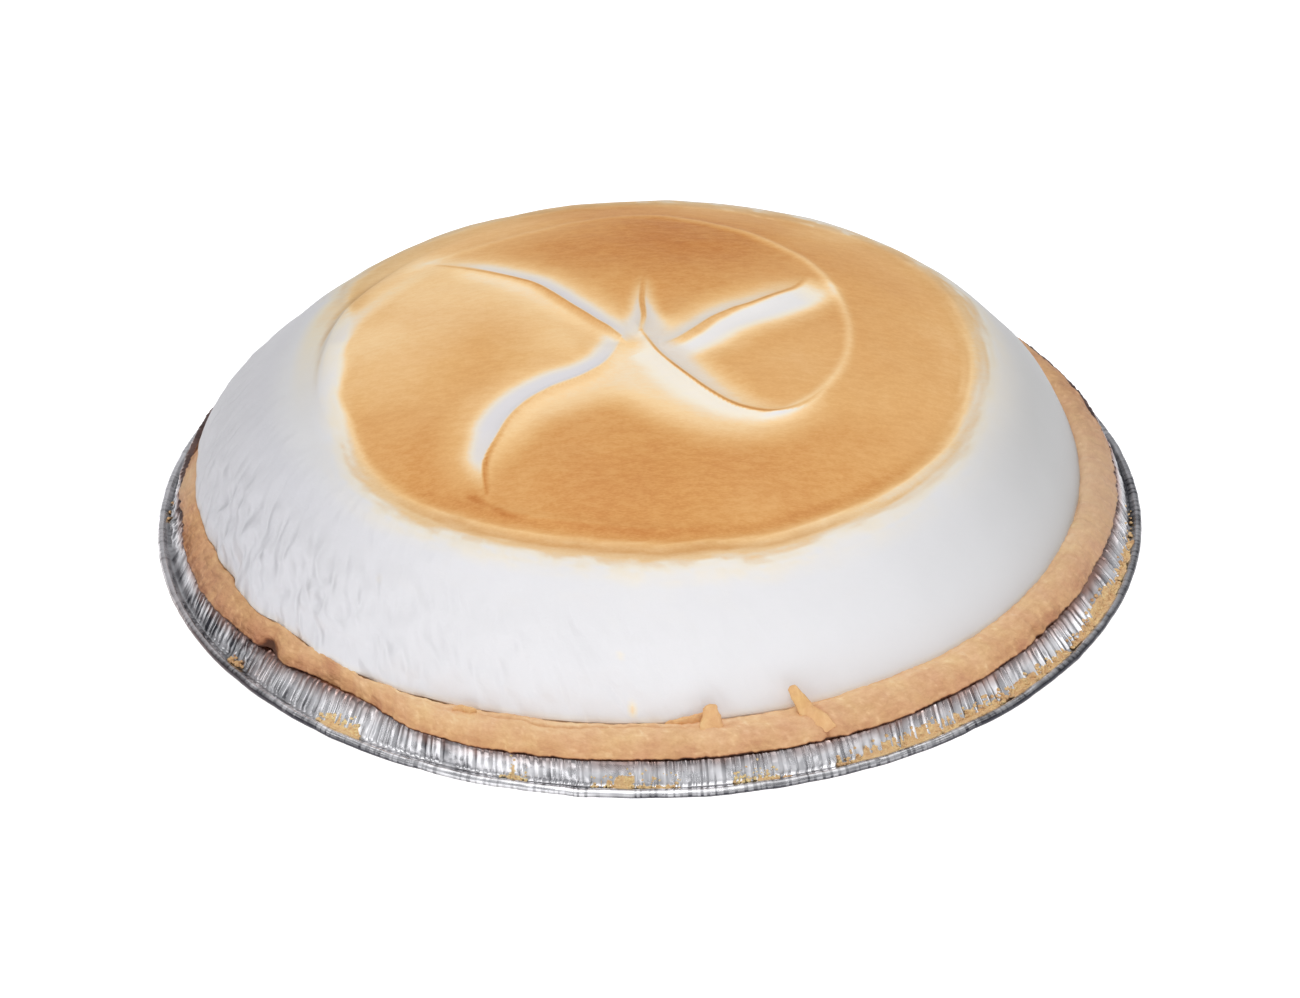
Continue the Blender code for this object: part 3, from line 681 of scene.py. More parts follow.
def makeMeringue():
    # rings from the middle to the edge, each point moved along the dome's normal by all the relief
    counts, edge, shift = meringue["rings"], meringue["domeRadii"][-1], meringue["shift"]
    middle, shoulder = np.linspace(*counts["middle"]), np.linspace(*counts["shoulder"])
    skirt = skirtRadii(shoulder[-1], edge, counts["skirt"])
    radius = np.concatenate([middle, shoulder, skirt])[:, None]
    radius, angle = np.broadcast_arrays(radius, roundAngles(meringue["around"])[None, :])
    x, y = radius * np.cos(angle), radius * np.sin(angle)
    height = domeHeight(radius)
    slope = (domeHeight(radius + 0.05) - domeHeight(np.maximum(radius - 0.05, 0))) / 0.1
    aboveLip = ease(height, *meringue["reliefGrows"])
    carved = pinwheelRelief(x, y)
    # the shades were drawn over a plain dome as the camera sees it, where raised spots look further back
    toastAndShading, tintAndShade = toastOf(x, y + meringue["ridges"]["seenHigher"] * carved)
    relief = carved + meringue["coil"]["rise"] * coilLine(radius, angle) + edgeRelief(radius, angle) * aboveLip
    wave = meringue["unevenness"] * roughNoise(x, y, height, 16, 21) * aboveLip
    dragged = dragMarks(radius, angle, height) * ease(height, 33.5, 41)
    lift = relief + wave + dragged
    steep = np.hypot(slope, 1)
    full, fullWidth, fullSize = meringue["fullSide"]
    bulge = fullSize * angleBell(angle, full, fullWidth) * ease(radius, 101, edge)
    bulge = bulge + footLine(angle) * ease(radius, 99, edge)
    # a painted lavender shade on the left side
    tintAndShade = np.minimum(tintAndShade, -0.35 * angleBell(angle, -172, 48) * ease(radius, 84, 92))
    moved = radius + bulge + lift * -slope / steep
    z = height + meringue["lean"] * x * aboveLip + lift / steep
    top = placed(moved, angle, z, shift * ease(radius, 35, 75))
    under = [placed(moved[-1] + reach, angle[0], level, shift) for reach, level in meringue["underside"]]
    hidden = np.zeros((len(under), meringue["around"]))    # the underside is lightly toasted and plain
    fields = {"toastAndShading": toastAndShading, "tintAndShade": tintAndShade}
    fields |= {"paintedShade": sideShade(radius, angle), "wrinkled": dragForce(angle, radius)}
    fields = {key: np.concatenate([field, hidden + 0.3 * (key == "toastAndShading")]) for key, field in fields.items()}
    poles = [(0, 0, top[0, :, 2].mean()), (shift, 0, meringue["underside"][-1][1])]
    return skin("meringue_dome", np.concatenate([top, np.array(under)]), fields, poles)


meringueFinish = {
    "shades": [(0.0, paint(239, 238, 240)), (0.15, paint(251, 240, 219)), (0.30, paint(254, 218, 165)),
               (0.42, paint(244, 199, 140)), (0.55, paint(233, 180, 116)), (0.70, paint(220, 158, 92)),
               (0.85, paint(203, 132, 68)), (1.0, paint(176, 107, 54))],
    # shade is the painted shade of the sides, lavender a painted cool shade
    "paintedCoolShade": paint(224, 224, 236), "amber": paint(255, 235, 205), "shade": paint(212, 212, 209),
    "grainsPerMetre": 700, "fineShare": 0.5, "speckle": 0.17, "grainDepth": 0.00008, "grainStretch": (2.4, 1, 1),
    "patches": (45, 0.07, 0.006),    # how many a metre, change of brightness, change of hue
    # fine wrinkles: how wide and long in metres, their slant in radians, and their depth
    "wrinkleSize": (0.0022, 0.008, 1), "wrinkleSlant": -0.2, "wrinkleDepth": 0.0038,
    "roughness": (0.72, 0.5), "specular": 0.16,    # roughness where it is white and where it is browned
}


def meringueMaterial():
    # a ramp of shades read by toast, multiplied by amber, by lavender as painted cool shade and by shade as painted
    # side shade, as far as the mesh says
    look = meringueFinish
    finish, tree, shader = newMaterial("toastedMeringue")
    toastAndShading, tintAndShade, paintedShade, wrinkled = (painted(tree, field) for field in ("toastAndShading", "tintAndShade", "paintedShade", "wrinkled"))
    speck, grain = speckled(tree, laidOut(tree, "Object", look["grainStretch"]), look)
    marked = maths(tree, "ADD", toastAndShading, maths(tree, "MULTIPLY", speck, toastAndShading))    # grain only marks browned parts
    cold = maths(tree, "MULTIPLY", tintAndShade, -1)
    colour = ramp(tree, marked, look["shades"])
    colour = blendColour(tree, maths(tree, "MAXIMUM", tintAndShade, 0), colour, look["amber"], "MULTIPLY")
    # painted lavender shade
    colour = blendColour(tree, maths(tree, "MAXIMUM", cold, 0), colour, look["paintedCoolShade"], "MULTIPLY")
    # painted shade of the sides
    colour = blendColour(tree, paintedShade, colour, look["shade"], "MULTIPLY")
    finishColour(tree, shader, colour, look)
    dull, sheen = look["roughness"]
    rough = add(tree, "MapRange", {0: toastAndShading, 1: 0.2, 2: 0.9, 3: dull, 4: sheen}).outputs[0]
    feed(tree, shader, {"Roughness": rough, "Specular IOR Level": look["specular"]})
    # fine wrinkles: noise that is narrow round the pie and long down its side, slanting to the back
    laid = laidOut(tree, "UV", look["wrinkleSize"], look["wrinkleSlant"])
    noise = add(tree, "TexNoise", {"Vector": laid, "Scale": 1, "Detail": 0.5, "Distortion": 0.25}).outputs[0]
    folds = maths(tree, "MULTIPLY", maths(tree, "MULTIPLY", noise, wrinkled), look["wrinkleDepth"])
    bumps(tree, shader, maths(tree, "ADD", maths(tree, "MULTIPLY", grain, look["grainDepth"]), folds), 1, 1)
    return finish


dome = makeMeringue()
dome.data.materials.append(meringueMaterial())
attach(dome, "root")
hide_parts("meringue")
print("meringue made:", len(dome.data.polygons), "faces")


# pastry lip

lip = {
    "around": 1440, "rows": 34,    # points round the lip, and rows across it
    # radius and height of its inner edge, height of its lower edge, its rise between them and how round it is
    "inner": 108.8, "innerHeight": 33.7, "under": 29.5, "rise": 1.3, "roundness": 2.6,
    "fullSide": (28, 32, 1.8),    # where it stands taller: degrees, width, mm
    # radius of the lower edge at each angle, with the notch on the front left
    "outerEdge": {-178: 116.2, -174: 115.4, -166: 116.2, -158: 117.0, -150: 116.0, -145.4: 115.4, -143.6: 115.2,
                  -142.4: 113.6, -141.2: 113.4, -140.4: 114.6, -139.4: 115.5, -136: 114.0, -133.5: 112.9,
                  -128: 112.9, -125: 113.9, -122: 115.4, -119: 117.0, -112: 117.9, -104: 117.6, -95: 117.0,
                  -80: 116.8, -65: 116.7, -50: 115.4, -42: 114.8, -34: 114.1, -22: 114.2, -12: 114.6, -5: 115.3,
                  10: 116.2, 30: 116.4, 60: 115.8, 90: 115.8, 130: 115.6, 150: 114.6, 168: 114.4, 176: 116.0},
    # where the lip's top edge lies further out or in than the meringue's foot
    "innerEdge": {-176: -2, -160: -2.6, -145: -2.4, -138.6: -2.4, -134: -1.4, -130: -0.8, -127.5: -0.2,
                  -125.5: 0.7, -123.4: -0.2, -119: 0.3, -114.6: 1.2, -113.2: -0.2, -111: -0.2, -100: 0.1,
                  -84: 0.1, -72: 0.5, -70.6: -0.9, -60: -0.4, -42: -1.0, -25: -1.0, 0: -0.3, 90: 0, 165: 0,
                  176: -1.5},
    # change of its height: low at the left, where the meringue spreads over it
    "topRise": {-180: -1.3, -170: -1.2, -155: -1.0, -143: -0.6, -130: -0.3, -110: 0, -90: 0, 0: 0, 90: 0,
                135: -0.6, 150: -1.6, 170: -1.8, 176: -1.2},
    # rings of (radius, height) that nothing shows of: under the meringue, with their share of its shift, and below
    "underMeringue": [(50, 31, 0.5), (104, 31, 1), (107, 32.6, 1)],
    "underLip": [(112.4, 29.2), (94, 3.5), (88, 0.9), (40, 0.9)],
    "roughness": (0.26, 0.2),    # coarse and fine unevenness, mm
    # cracks: degrees, width in degrees, depth, slant
    "cracks": [(-124.9, 0.6, 0.22, -2.5), (-69.2, 0.4, 0.5, 1.2), (150, 0.4, 0.6, 1.0),
               (84, 0.3, 0.5, -1.0), (112, 0.4, 0.6, 0.6)],
    # changes of how dark it is: (degrees, width, change) on the whole way across, the broad ones at the left and
    # the right painted side shade; the same with the middle and width of a bell across it; and painted shade low on
    # it, the same from one share of the way across to another, where it is full
    "bakeAndShadeStretches": [(-150, 6, 0.05), (-168, 34, 0.3), (14, 24, 0.24)],
    "bakedSpots": [(-131.4, 1.2, 0.24, 0.5, 0.25), (-105, 11, -0.09, 0.5, 0.3), (-118, 8, -0.07, 0.4, 0.3)],
    "paintedLowerShade": [(-30, 20, 0.16, 0.55, 0.85), (-134, 9, 0.16, 0.55, 0.85), (-142, 1.2, 0.5, 0.6, 0.9)],
    # where the crust turns golden, or dusty below 0: (degrees, width, change)
    "golden": [(-4, 20, -0.5), (179, 7, -0.45), (-158, 8, -0.12)],
}


def lipColour(angle, way, spots, groove, crack):
    # how dark the lip is: more at its top edge, its lower edge, its groove and its cracks, less on its back, with
    # streaks and flecks; low on it, in the groove and in the cracks this is painted shade, at the lower edge partly
    # burnt too;
    # and how golden it is
    degrees = fromBack(angle)
    ragged = 0.5 + 0.5 * patchNoise(degrees, 0, 3, 1.5, 61)
    edgeLine = bell(way, 0.05, 0.045) * ragged * (1 - angleBell(angle, -155, 34))
    pale = np.clip(patchNoise(degrees, 0, 6, 2.2, 62) + 0.2, 0, 1)
    pale = bell(way, 0.17, 0.05) * pale * angleBell(angle, -92, 34)
    streak = patchNoise(degrees / 5, way * 7 + 0.5 * np.sin(degrees / 5), 0, 1, 68)
    fleck = np.clip(patchNoise(*spots, 0.9, 71) - 0.35, 0, 1)
    # the lower edge: partly burnt, partly painted shade where it turns under
    burntAndShaded = ease(way, 0.92, 0.99) * (1 - 0.7 * angleBell(angle, -131, 7) - 0.7 * angleBell(angle, 160, 22))
    bakeAndShade = 0.35 + 0.08 * roughNoise(*spots, 6, 66) + 0.05 * streak - 0.34 * fleck - 0.14 * bell(way, 0.3, 0.16)
    # painted shade in the groove and the cracks
    bakeAndShade = bakeAndShade + 0.6 * edgeLine - 0.34 * pale + 0.3 * groove + 0.5 * np.clip(crack, 0, 1)
    # painted shade low on the lip, down to its lower edge
    bakeAndShade = bakeAndShade + 0.13 * ease(way, 0.55, 0.9) + 0.6 * burntAndShaded
    # the broad stretches at the left and the right are painted side shade
    for place, width, change in lip["bakeAndShadeStretches"]:
        bakeAndShade = bakeAndShade + change * angleBell(angle, place, width)
    for place, width, change, middle, reach in lip["bakedSpots"]:
        bakeAndShade = bakeAndShade + change * angleBell(angle, place, width) * bell(way, middle, reach)
    # painted shade low on the lip at a few places
    for place, width, change, start, full in lip["paintedLowerShade"]:
        bakeAndShade = bakeAndShade + change * angleBell(angle, place, width) * ease(way, start, full)
    golden = 0.3 * angleBell(angle, -108, 16) * way
    for place, width, change in lip["golden"]:
        golden = golden + change * angleBell(angle, place, width)
    return bakeAndShade, golden


def makeLip():
    # rows across the lip from the meringue's foot over the top to its lower edge, then the hidden wall
    angle = roundAngles(lip["around"])[None, :]
    degrees = fromBack(angle)
    way = np.linspace(0, 1, lip["rows"])[:, None]
    share = 0.5 - 0.5 * np.cos(np.pi * way)
    full, fullWidth, fullRise = lip["fullSide"]
    ragged = 0.30 * patchNoise(degrees * 2, 0, 0, 2.2, 31) + 0.22 * patchNoise(degrees * 2, 0, 7, 0.8, 32)
    nibbled = 0.7 * patchNoise(degrees * 2, 0, 11, 4, 33) * (0.25 + angleBell(angle, -150, 30))
    inner = roundTable(angle, lip["innerEdge"], 0.6) + nibbled
    inner = lip["inner"] + np.minimum(inner, footLine(angle) + 0.3)    # it always starts under the meringue's foot
    outer = roundTable(angle, lip["outerEdge"], 0.6) + ragged
    radius = mix(inner, outer, share)
    level = lip["innerHeight"] + lip["rise"] * np.sin(np.pi * way)
    level = level + fullRise * angleBell(angle, full, fullWidth) * ease(way, 0, 0.5) * (1 - ease(way, 0.7, 1))
    level = level + roundTable(angle, lip["topRise"]) * (1 - ease(way, 0.6, 1))
    level = level - (lip["innerHeight"] - lip["under"]) * share ** lip["roundness"]
    # the lip's own outward direction, from its slope across
    across = np.gradient(radius, axis=0), np.gradient(level, axis=0)
    length = np.hypot(*across)
    outward, upward = -across[1] / length, across[0] / length
    x, y = radius * np.cos(angle), radius * np.sin(angle)
    coarse, fine = lip["roughness"]
    lump = coarse * roughNoise(x, y, level, 5, 41) + fine * roughNoise(x, y, level, 1.2, 47)
    layer = 0.18 * patchNoise(degrees / 5, way * 8 + 0.8 * np.sin(degrees / 7), 0, 1, 53)
    crack = 0 * radius
    for place, width, depth, slant in lip["cracks"]:
        leaned = angle + np.radians(slant * (way - 0.5))
        crack = crack + depth * angleBell(leaned, place, width) * ease(way, 0.15, 0.4)
    groove = bell(way, 0.38 + 0.05 * patchNoise(degrees / 3, 0, 0, 1, 35), 0.035) * angleBell(angle, -98, 17)
    lift = (lump + layer - crack - 0.45 * groove) * ease(way, 0, 0.1) * (1 - 0.6 * ease(way, 0.9, 1))
    radius, level = radius + lift * outward, level + lift * upward
    shift = meringue["shift"]
    rows = placed(radius, angle, level, shift * (1 - share))
    before = [placed(reach, angle[0], z, shift * part) for reach, z, part in lip["underMeringue"]]
    after = [placed(outer[0] - 0.5, angle[0], lip["under"] - 0.2)]
    after += [placed(reach, angle[0], z) for reach, z in lip["underLip"]]
    bakeAndShade, golden = lipColour(angle, way, (x, y, level), groove, crack)
    around = lip["around"]
    bakeAndShade = np.concatenate([np.full((len(before), around), 0.6), bakeAndShade, np.full((len(after), around), 0.95)])
    golden = np.pad(golden, ((len(before), len(after)), (0, 0)), "edge")
    poles = [(0, 0, 31), (0, 0, 0.9)]
    return skin("pastry_lip", np.concatenate([before, rows, after]), {"bakeAndShade": bakeAndShade, "golden": golden}, poles)


pastryFinish = {
    "shades": [(0.0, paint(242, 212, 170)), (0.25, paint(230, 188, 143)), (0.45, paint(215, 167, 122)),
               (0.65, paint(193, 141, 100)), (0.85, paint(142, 92, 58)), (1.0, paint(84, 52, 34))],
    "golden": paint(254, 244, 212), "dusty": paint(206, 180, 152),
    "laidBy": "UV", "grainsPerMetre": 760, "fineShare": 0.35, "grainStretch": (1.7, 1, 1),
    "speckle": 0.17, "grainDepth": 0.0003,
    "patches": (170, 0.13, 0.035),    # how many a metre, change of brightness, change of hue
    "roughness": 0.72, "specular": 0.3,
}

bakedPastry = bakedMaterial("bakedPastry", pastryFinish)
lipPiece = makeLip()
lipPiece.data.materials.append(bakedPastry)
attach(lipPiece, "root")
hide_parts("pastry_crust")
print("pastry lip made:", len(lipPiece.data.polygons), "faces")


# standing flakes of crust

flakes = {
    # each a strip along a path of (degrees, radius, height), with its width along the way and its thickness
    "long": {"path": [(-69.5, 115.5, 29.4), (-70.0, 115.0, 31.2), (-70.6, 113.5, 33.3), (-71.3, 111.9, 34.7),
                      (-71.9, 110.4, 36.9), (-72.5, 109.6, 39.2), (-73.1, 109.1, 41.0)],
             "width": [6.0, 6.0, 5.2, 4.2, 3.2, 2.7, 1.9], "thickness": 1.5, "seed": 5},
    "short": {"path": [(-83.3, 113.2, 33.0), (-83.1, 112.0, 34.3), (-82.95, 110.3, 36.8), (-83.1, 109.8, 39.3)],
              "width": [5.0, 5.6, 3.8, 2.6], "thickness": 1.4, "seed": 8},
    "smear": {"path": [(-88.4, 109.5, 34.2), (-86.6, 109.3, 34.6), (-84.9, 109.3, 35.1), (-83.2, 109.6, 35.8)],
              "width": [1.0, 1.8, 2.8, 3.2], "thickness": 1.0, "seed": 12},
    "crumbAtFold": {"path": [(-113.9, 112.8, 34.4), (-113.0, 112.2, 34.9), (-112.0, 112.0, 34.9),
                             (-111.0, 111.8, 34.5)],
                    "width": [1.6, 1.8, 1.7, 1.5], "thickness": 0.8, "seed": 14},
}


def unit(vectors):    # each vector divided by its length
    return vectors / np.linalg.norm(vectors, axis=1)[:, None]


def makeFlake(shape):
    # a flat rounded strip: a profile of width by thickness carried along a smooth path, its edges uneven
    stations = np.array(shape["path"])
    path = smoothRoute(placed(stations[:, 1], np.radians(stations[:, 0]), stations[:, 2]), 30)
    ahead = unit(np.gradient(path, axis=0))
    sideways = unit(np.cross(ahead, unit(path * [1, 1, 0])))
    upward = np.cross(ahead, sideways)
    around = np.linspace(0, turn, 25)[:-1]
    along = np.linspace(0, 1, len(path))
    rounded = np.clip(np.minimum(along, 1 - along) / 0.07, 0.03, 1)    # its ends are quarter circles in plan
    rounded = np.sqrt(np.clip(1 - (1 - rounded) ** 2, 0, 1))
    half = 0.5 * (alongTable(along, shape["width"]) * rounded)[:, None]
    thick = 0.5 * shape["thickness"] * np.sin(np.pi * np.clip(along, 0.06, 0.94))[:, None] ** 0.35
    across, deep = (np.sign(wave) * np.abs(wave) ** 0.7 for wave in (np.cos(around), np.sin(around)))
    ring = path[:, None] + sideways[:, None] * (half * across)[..., None]
    ring = ring + upward[:, None] * (thick * deep)[..., None]
    push = [roughNoise(*np.moveaxis(ring, -1, 0), 1.3, shape["seed"] + k) for k in range(3)]
    return ring + 0.3 * np.stack(push, -1)


def makeFlakes():
    # all flakes as one mesh: each strip's rings joined by quads and closed by a fan at each end
    points, corners, starts, used = [], [], [], 0
    for shape in flakes.values():
        ring = makeFlake(shape)
        count, around = ring.shape[:2]
        row, step = np.meshgrid(np.arange(count - 1), np.arange(around), indexing="ij")
        here, after = row * around + step, row * around + (step + 1) % around
        quads = np.stack([here, after, after + around, here + around], -1)
        side = np.arange(around)
        first, last, low = count * around, count * around + 1, (count - 1) * around
        head = np.stack([np.full(around, first), (side + 1) % around, side], -1)
        tail = np.stack([np.full(around, last), low + side, low + (side + 1) % around], -1)
        fans = np.concatenate([head, tail])
        offset = sum(len(block) for block in corners)
        corners += [quads.ravel() + used, fans.ravel() + used]
        starts += [offset + np.arange(0, quads.size, 4), offset + quads.size + np.arange(0, fans.size, 3)]
        points += [ring.reshape(-1, 3), ring[0].mean(axis=0)[None], ring[-1].mean(axis=0)[None]]
        used += count * around + 2
    points, corners = np.concatenate(points), np.concatenate(corners)
    bakeAndShade = 0.27 + 0.08 * roughNoise(*points.T, 2.5, 77)
    uvs = points[corners][:, :2] * mm
    fields = {"bakeAndShade": bakeAndShade, "golden": np.full(len(points), 0.6)}
    return fillMesh("crust_flakes", points, corners, np.concatenate(starts), fields, uvs)


flakePiece = makeFlakes()
flakePiece.data.materials.append(bakedPastry)
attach(flakePiece, "root")
print("flakes made")


# foil tin

foil = {
    "around": 3200, "bowlAround": 1200,    # points round the rim and round the bowl
    "crimpWidth": (0.9, 2.6), "crimpDepth": (0.2, 0.55), "smooth": 0.16,    # mm, mm, share of plain stretches
    # radius and height of the crest, the slope's foot and the bead, which has a size too; and how far the crest
    # lies inside the pastry's lower edge
    "crest": (114.4, 29), "foot": (118.7, 23.3), "bead": (120.9, 22.9, 1.1), "tuck": 1.7,
    # the bowl: radius and height of the wall's top and foot, radius of its base, thickness of the sheet
    "wallTop": (112.6, 27.2), "corner": (94, 3), "base": 89.5, "sheet": 0.5,
    # how far the crest is drawn up and out round the pastry, mm at each angle
    "crestRise": {-180: 0.6, -172: 0.2, -160: 0, -138: 0, -134: 0.5, -126: 0.6, -119: 0.3, -112: 0, -90: 0,
                  -20: 0, 0: 0.4, 8: 1.6, 16: 2.8, 30: 3.3, 50: 3.2, 80: 2.4, 110: 1.8, 140: 1.8, 160: 1.9,
                  172: 1.2},
    "crestOut": {-180: 1.2, -172: 0.4, -160: -1.4, -20: -1.4, 0: 0.4, 8: 1, 16: 1.3, 30: 1.3, 60: 1.3, 110: 1.4,
                 140: 1.8, 160: 2.2, 172: 1.8},
    # painted reflection: how dark it is at each angle, more at the sides, which mirror less light
    "paintedShadeAndReflection": {-180: 0.22, -170: 0.26, -160: 0.1, -150: 0.06, -147: 0.36, -143: 0.34, -139: -0.05, -115: -0.14,
             -100: 0.04, -75: 0.06, -50: -0.1, -30: -0.14, -10: 0, -2: 0.46, 12: 0.42, 30: 0.1, 90: 0.1},
    # painted reflection: how dark the bead is at each angle
    "beadShade": {-180: -0.32, -160: -0.24, -150: -0.24, -138: 0, -120: 0.45, -105: 0.35, -95: 0.34, -75: 0.36,
                  -60: 0.4, -40: 0.42, -25: 0.38, -10: 0.3, -2: -0.05, 12: -0.05, 30: 0.2, 90: 0.3},
    # painted reflection: more or less dark along the bead's outermost line; and how far the painted shade of the
    # folds' two sides differs
    "outline": {-180: 0, -168: 0.3, -158: 0.6, -151: 1.4, -140: 1.1, -130: 0.6, -120: 0, -112: -0.65,
                -98: -0.65, -90: -0.3, -62: -0.25, -50: 0.45, -30: 0.75, -10: 0.75, 20: 0.55, 90: 0.3},
    "contrast": {-180: 1.2, -160: 1.2, -154: 1.9, -150: 1.9, -146: 0.8, -140: 1.2, -110: 1, -98: 0.45, -72: 0.5,
                 -55: 1.1, 180: 1.1},
    # stretches where it is crushed flat: degrees, width
    "crushed": [(-146, 3.5), (-173, 5), (178, 6)],
    # how far each row of the rim's profile takes part, from the top of the wall outwards: 5 rows of crest, 9 of
    # slope, 1 of ledge, 10 round the bead and 5 back underneath, with rows that are left out at the end being 0
    "rows": {
        "slope": [0, 0, 0, 0.25, 0.5, 0.7, 0.95, 1, 1, 1, 1, 1, 0.925, 0.55, 0.15],
        "drawn": [0, 0.5, 0.9, 1, 1, *np.linspace(0.9, 0, 9), *12 * [0], 0.9, 1, 0.9, 0.4],
        "ledge": [*14 * [0], 1],
        "bead": [*15 * [0], *10 * [1]],
        # rows of painted shade and reflection: the ledge's crevice and the bead's underside, its outermost line,
        # the shadow under the pastry, and the pastry's reflection beside it
        "paintedBeadShadeRows": [*13 * [0], 0.2, 0.7, 0.3, 0, 0, 0, 0.2, 0.65, 0.95, 1, 1, 1],
        "outermost": [*18 * [0], 0.4, 0.9, 1, 1, 1],
        "shadow": [0.95, 0.95, 0.95, 0.95, 0.9, 0.6, 0.3, 0.12, 0.03],
        "paintedPastryReflection": [1, 1, 1, 1, 1, 0.9, 0.75, 0.5, 0.25],
    },
    "seed": 4,
}


def crestAt(angle):    # the crest's radius: the table's, or just inside the pastry's edge if that lies further out
    crestR = foil["crest"][0]
    pastry = roundTable(angle, lip["outerEdge"], 2) - foil["tuck"]
    return crestR + np.maximum(roundTable(angle, foil["crestOut"]), pastry - crestR)


def crimpLine(angle):
    # folds of random width and height side by side, each a rise to a sharp top and back, with plain stretches;
    # the second result is the painted shade of a fold's side: the falling side mirrors less light
    dice = np.random.default_rng(foil["seed"])
    girth = turn * foil["foot"][0]
    widths = dice.uniform(*foil["crimpWidth"], 640)    # more than go round
    edges = np.concatenate([[0], np.cumsum(widths)])
    edges = edges[edges < girth - 1]
    edges = edges / edges[-1] * girth
    depth = dice.uniform(*foil["crimpDepth"], len(edges) - 1)
    calm = patchNoise(edges[:-1] / girth * 60, 0, 0, 1, 9)
    plain = 0.05
    depth = np.where(calm > 1 - 2 * foil["smooth"], plain, depth)
    tops = edges[:-1] + np.diff(edges) * dice.uniform(0.5, 0.8, len(depth))
    stops = np.stack([edges[:-1], tops], -1).ravel()
    levels = np.stack([0 * depth, depth], -1).ravel()
    rising = dice.uniform(-0.15, 0.3, len(depth))
    falling = dice.uniform(0.35, 1, len(depth)) * (depth > plain)
    shades = np.stack([rising, falling], -1).ravel()
    spot = (angle + np.pi) / turn * girth
    shade = shades[np.clip(np.searchsorted(stops, spot, side="right") - 1, 0, len(shades) - 1)]
    return np.interp(spot, stops, levels, period=girth), shade


def rimProfile():
    # rows of (radius, height): the top of the wall, the crest, the slope, the ledge, round the bead and back below
    (crestR, crestZ), (footR, footZ) = foil["crest"], foil["foot"]
    (beadR, beadZ, beadSize), (wallR, wallZ) = foil["bead"], foil["wallTop"]
    upper = [(wallR, wallZ), (crestR - 1.2, crestZ - 0.5), (crestR - 0.6, crestZ - 0.1), (crestR, crestZ),
             (crestR + 0.7, crestZ - 0.15)]
    slope = [(mix(crestR + 1.2, footR, s), mix(crestZ - 0.5, footZ, s)) for s in np.linspace(0, 1, 9)]
    bead = [(beadR + beadSize * np.cos(t), beadZ + beadSize * np.sin(t))
            for t in np.radians([150, 120, 90, 60, 30, 0, -30, -60, -100, -150])]
    lower = [(footR - 0.3, footZ - 0.5), (crestR + 0.8, crestZ - 1.0), (crestR, crestZ - 0.6),
             (crestR - 0.7, crestZ - 1.0), (wallR + 0.4, wallZ - 0.3)]
    return np.array(upper + slope + [(footR + 0.6, footZ - 0.05)] + bead + lower)


def makeRim():
    # a closed ring of the sheet's profile, its slope raised by the crimps along the slope's normal
    angle = roundAngles(foil["around"])[None, :]
    degrees = fromBack(angle)
    profile = rimProfile()
    row = {key: np.pad(shares, (0, len(profile) - len(shares)))[:, None] for key, shares in foil["rows"].items()}
    radius = profile[:, :1] + row["drawn"] * (crestAt(angle) - foil["crest"][0])
    level = profile[:, 1:] + row["drawn"] * roundTable(angle, foil["crestRise"])
    crushed = sum(angleBell(angle, place, width) for place, width in foil["crushed"])
    crushed = np.clip(crushed, 0, 1)
    x, y = radius * np.cos(angle), radius * np.sin(angle)
    folds, paintedFacetShade = crimpLine(angle)
    crimp = folds * (1 - 0.7 * crushed) + 0.5 * crushed * roughNoise(x, y, level, 1.6, 19)
    lift = crimp * row["slope"] + 0.10 * patchNoise(degrees * 1.6, level, 0, 1, 18) * (row["slope"] > 0.2)
    dent = 0.10 * patchNoise(degrees / 1.1, 0, 4, 1, 22) + 0.03 * patchNoise(degrees * 2, level, 4, 1, 23)
    radius = radius + 0.8 * lift + row["bead"] * (dent - 0.1) * 0.6
    level = level + 0.6 * lift + row["bead"] * 0.2 * patchNoise(degrees / 2, 0, 9, 1, 24)
    lean = 0.9 * patchNoise(degrees / 5, 0, 0, 1, 15) * row["slope"] * np.linspace(0, 1, len(profile))[:, None]
    angle = angle + np.radians(lean)
    rings = placed(radius, angle, level)
    # painted shade and reflection: dark on one side of each fold and in its bottom, in shadow under the pastry,
    # below the bead and more at the sides, less on the ledge at the left, with a little random tone
    bottom = 0.6 * (1 - folds / foil["crimpDepth"][1]) ** 4
    uneven = roundTable(angle, foil["contrast"]) * (0.75 + 0.4 * patchNoise(degrees, level / 3, 0, 1, 27))
    paintedShadeAndReflection = (0.75 * paintedFacetShade * (1 - 0.5 * crushed) + bottom) * row["slope"] * uneven + 0.35 * paintedFacetShade * row["bead"]
    paintedShadeAndReflection = paintedShadeAndReflection + roundTable(angle, foil["beadShade"]) * row["bead"]
    paintedShadeAndReflection = paintedShadeAndReflection + roundTable(angle, foil["outline"], 3) * row["outermost"]
    paintedShadeAndReflection = paintedShadeAndReflection - 0.6 * angleBell(angle, -160, 18) * row["ledge"]
    paintedShadeAndReflection = paintedShadeAndReflection + row["paintedBeadShadeRows"] + row["shadow"] + roundTable(angle, foil["paintedShadeAndReflection"])
    paintedShadeAndReflection = paintedShadeAndReflection + 0.14 * roughNoise(x, y, level, 4, 28)
    # painted reflection of the pastry: a brown tinge runs out from under the pastry, and lies on the bead and the
    # slope in two places on the left
    paintedPastryReflection = row["paintedPastryReflection"] * (1 + angleBell(angle, -22, 32)) + 0.35 * row["bead"] * angleBell(angle, -162, 20)
    paintedPastryReflection = paintedPastryReflection + 0.4 * row["slope"] * angleBell(angle, -142, 2)
    paintedPastryReflection = paintedPastryReflection * np.clip(0.7 + 0.5 * roughNoise(x, y, level, 5, 29), 0, 1)
    return skin("foil_rim", rings, {"paintedShadeAndReflection": np.clip(paintedShadeAndReflection, 0, 1), "paintedPastryReflection": paintedPastryReflection})


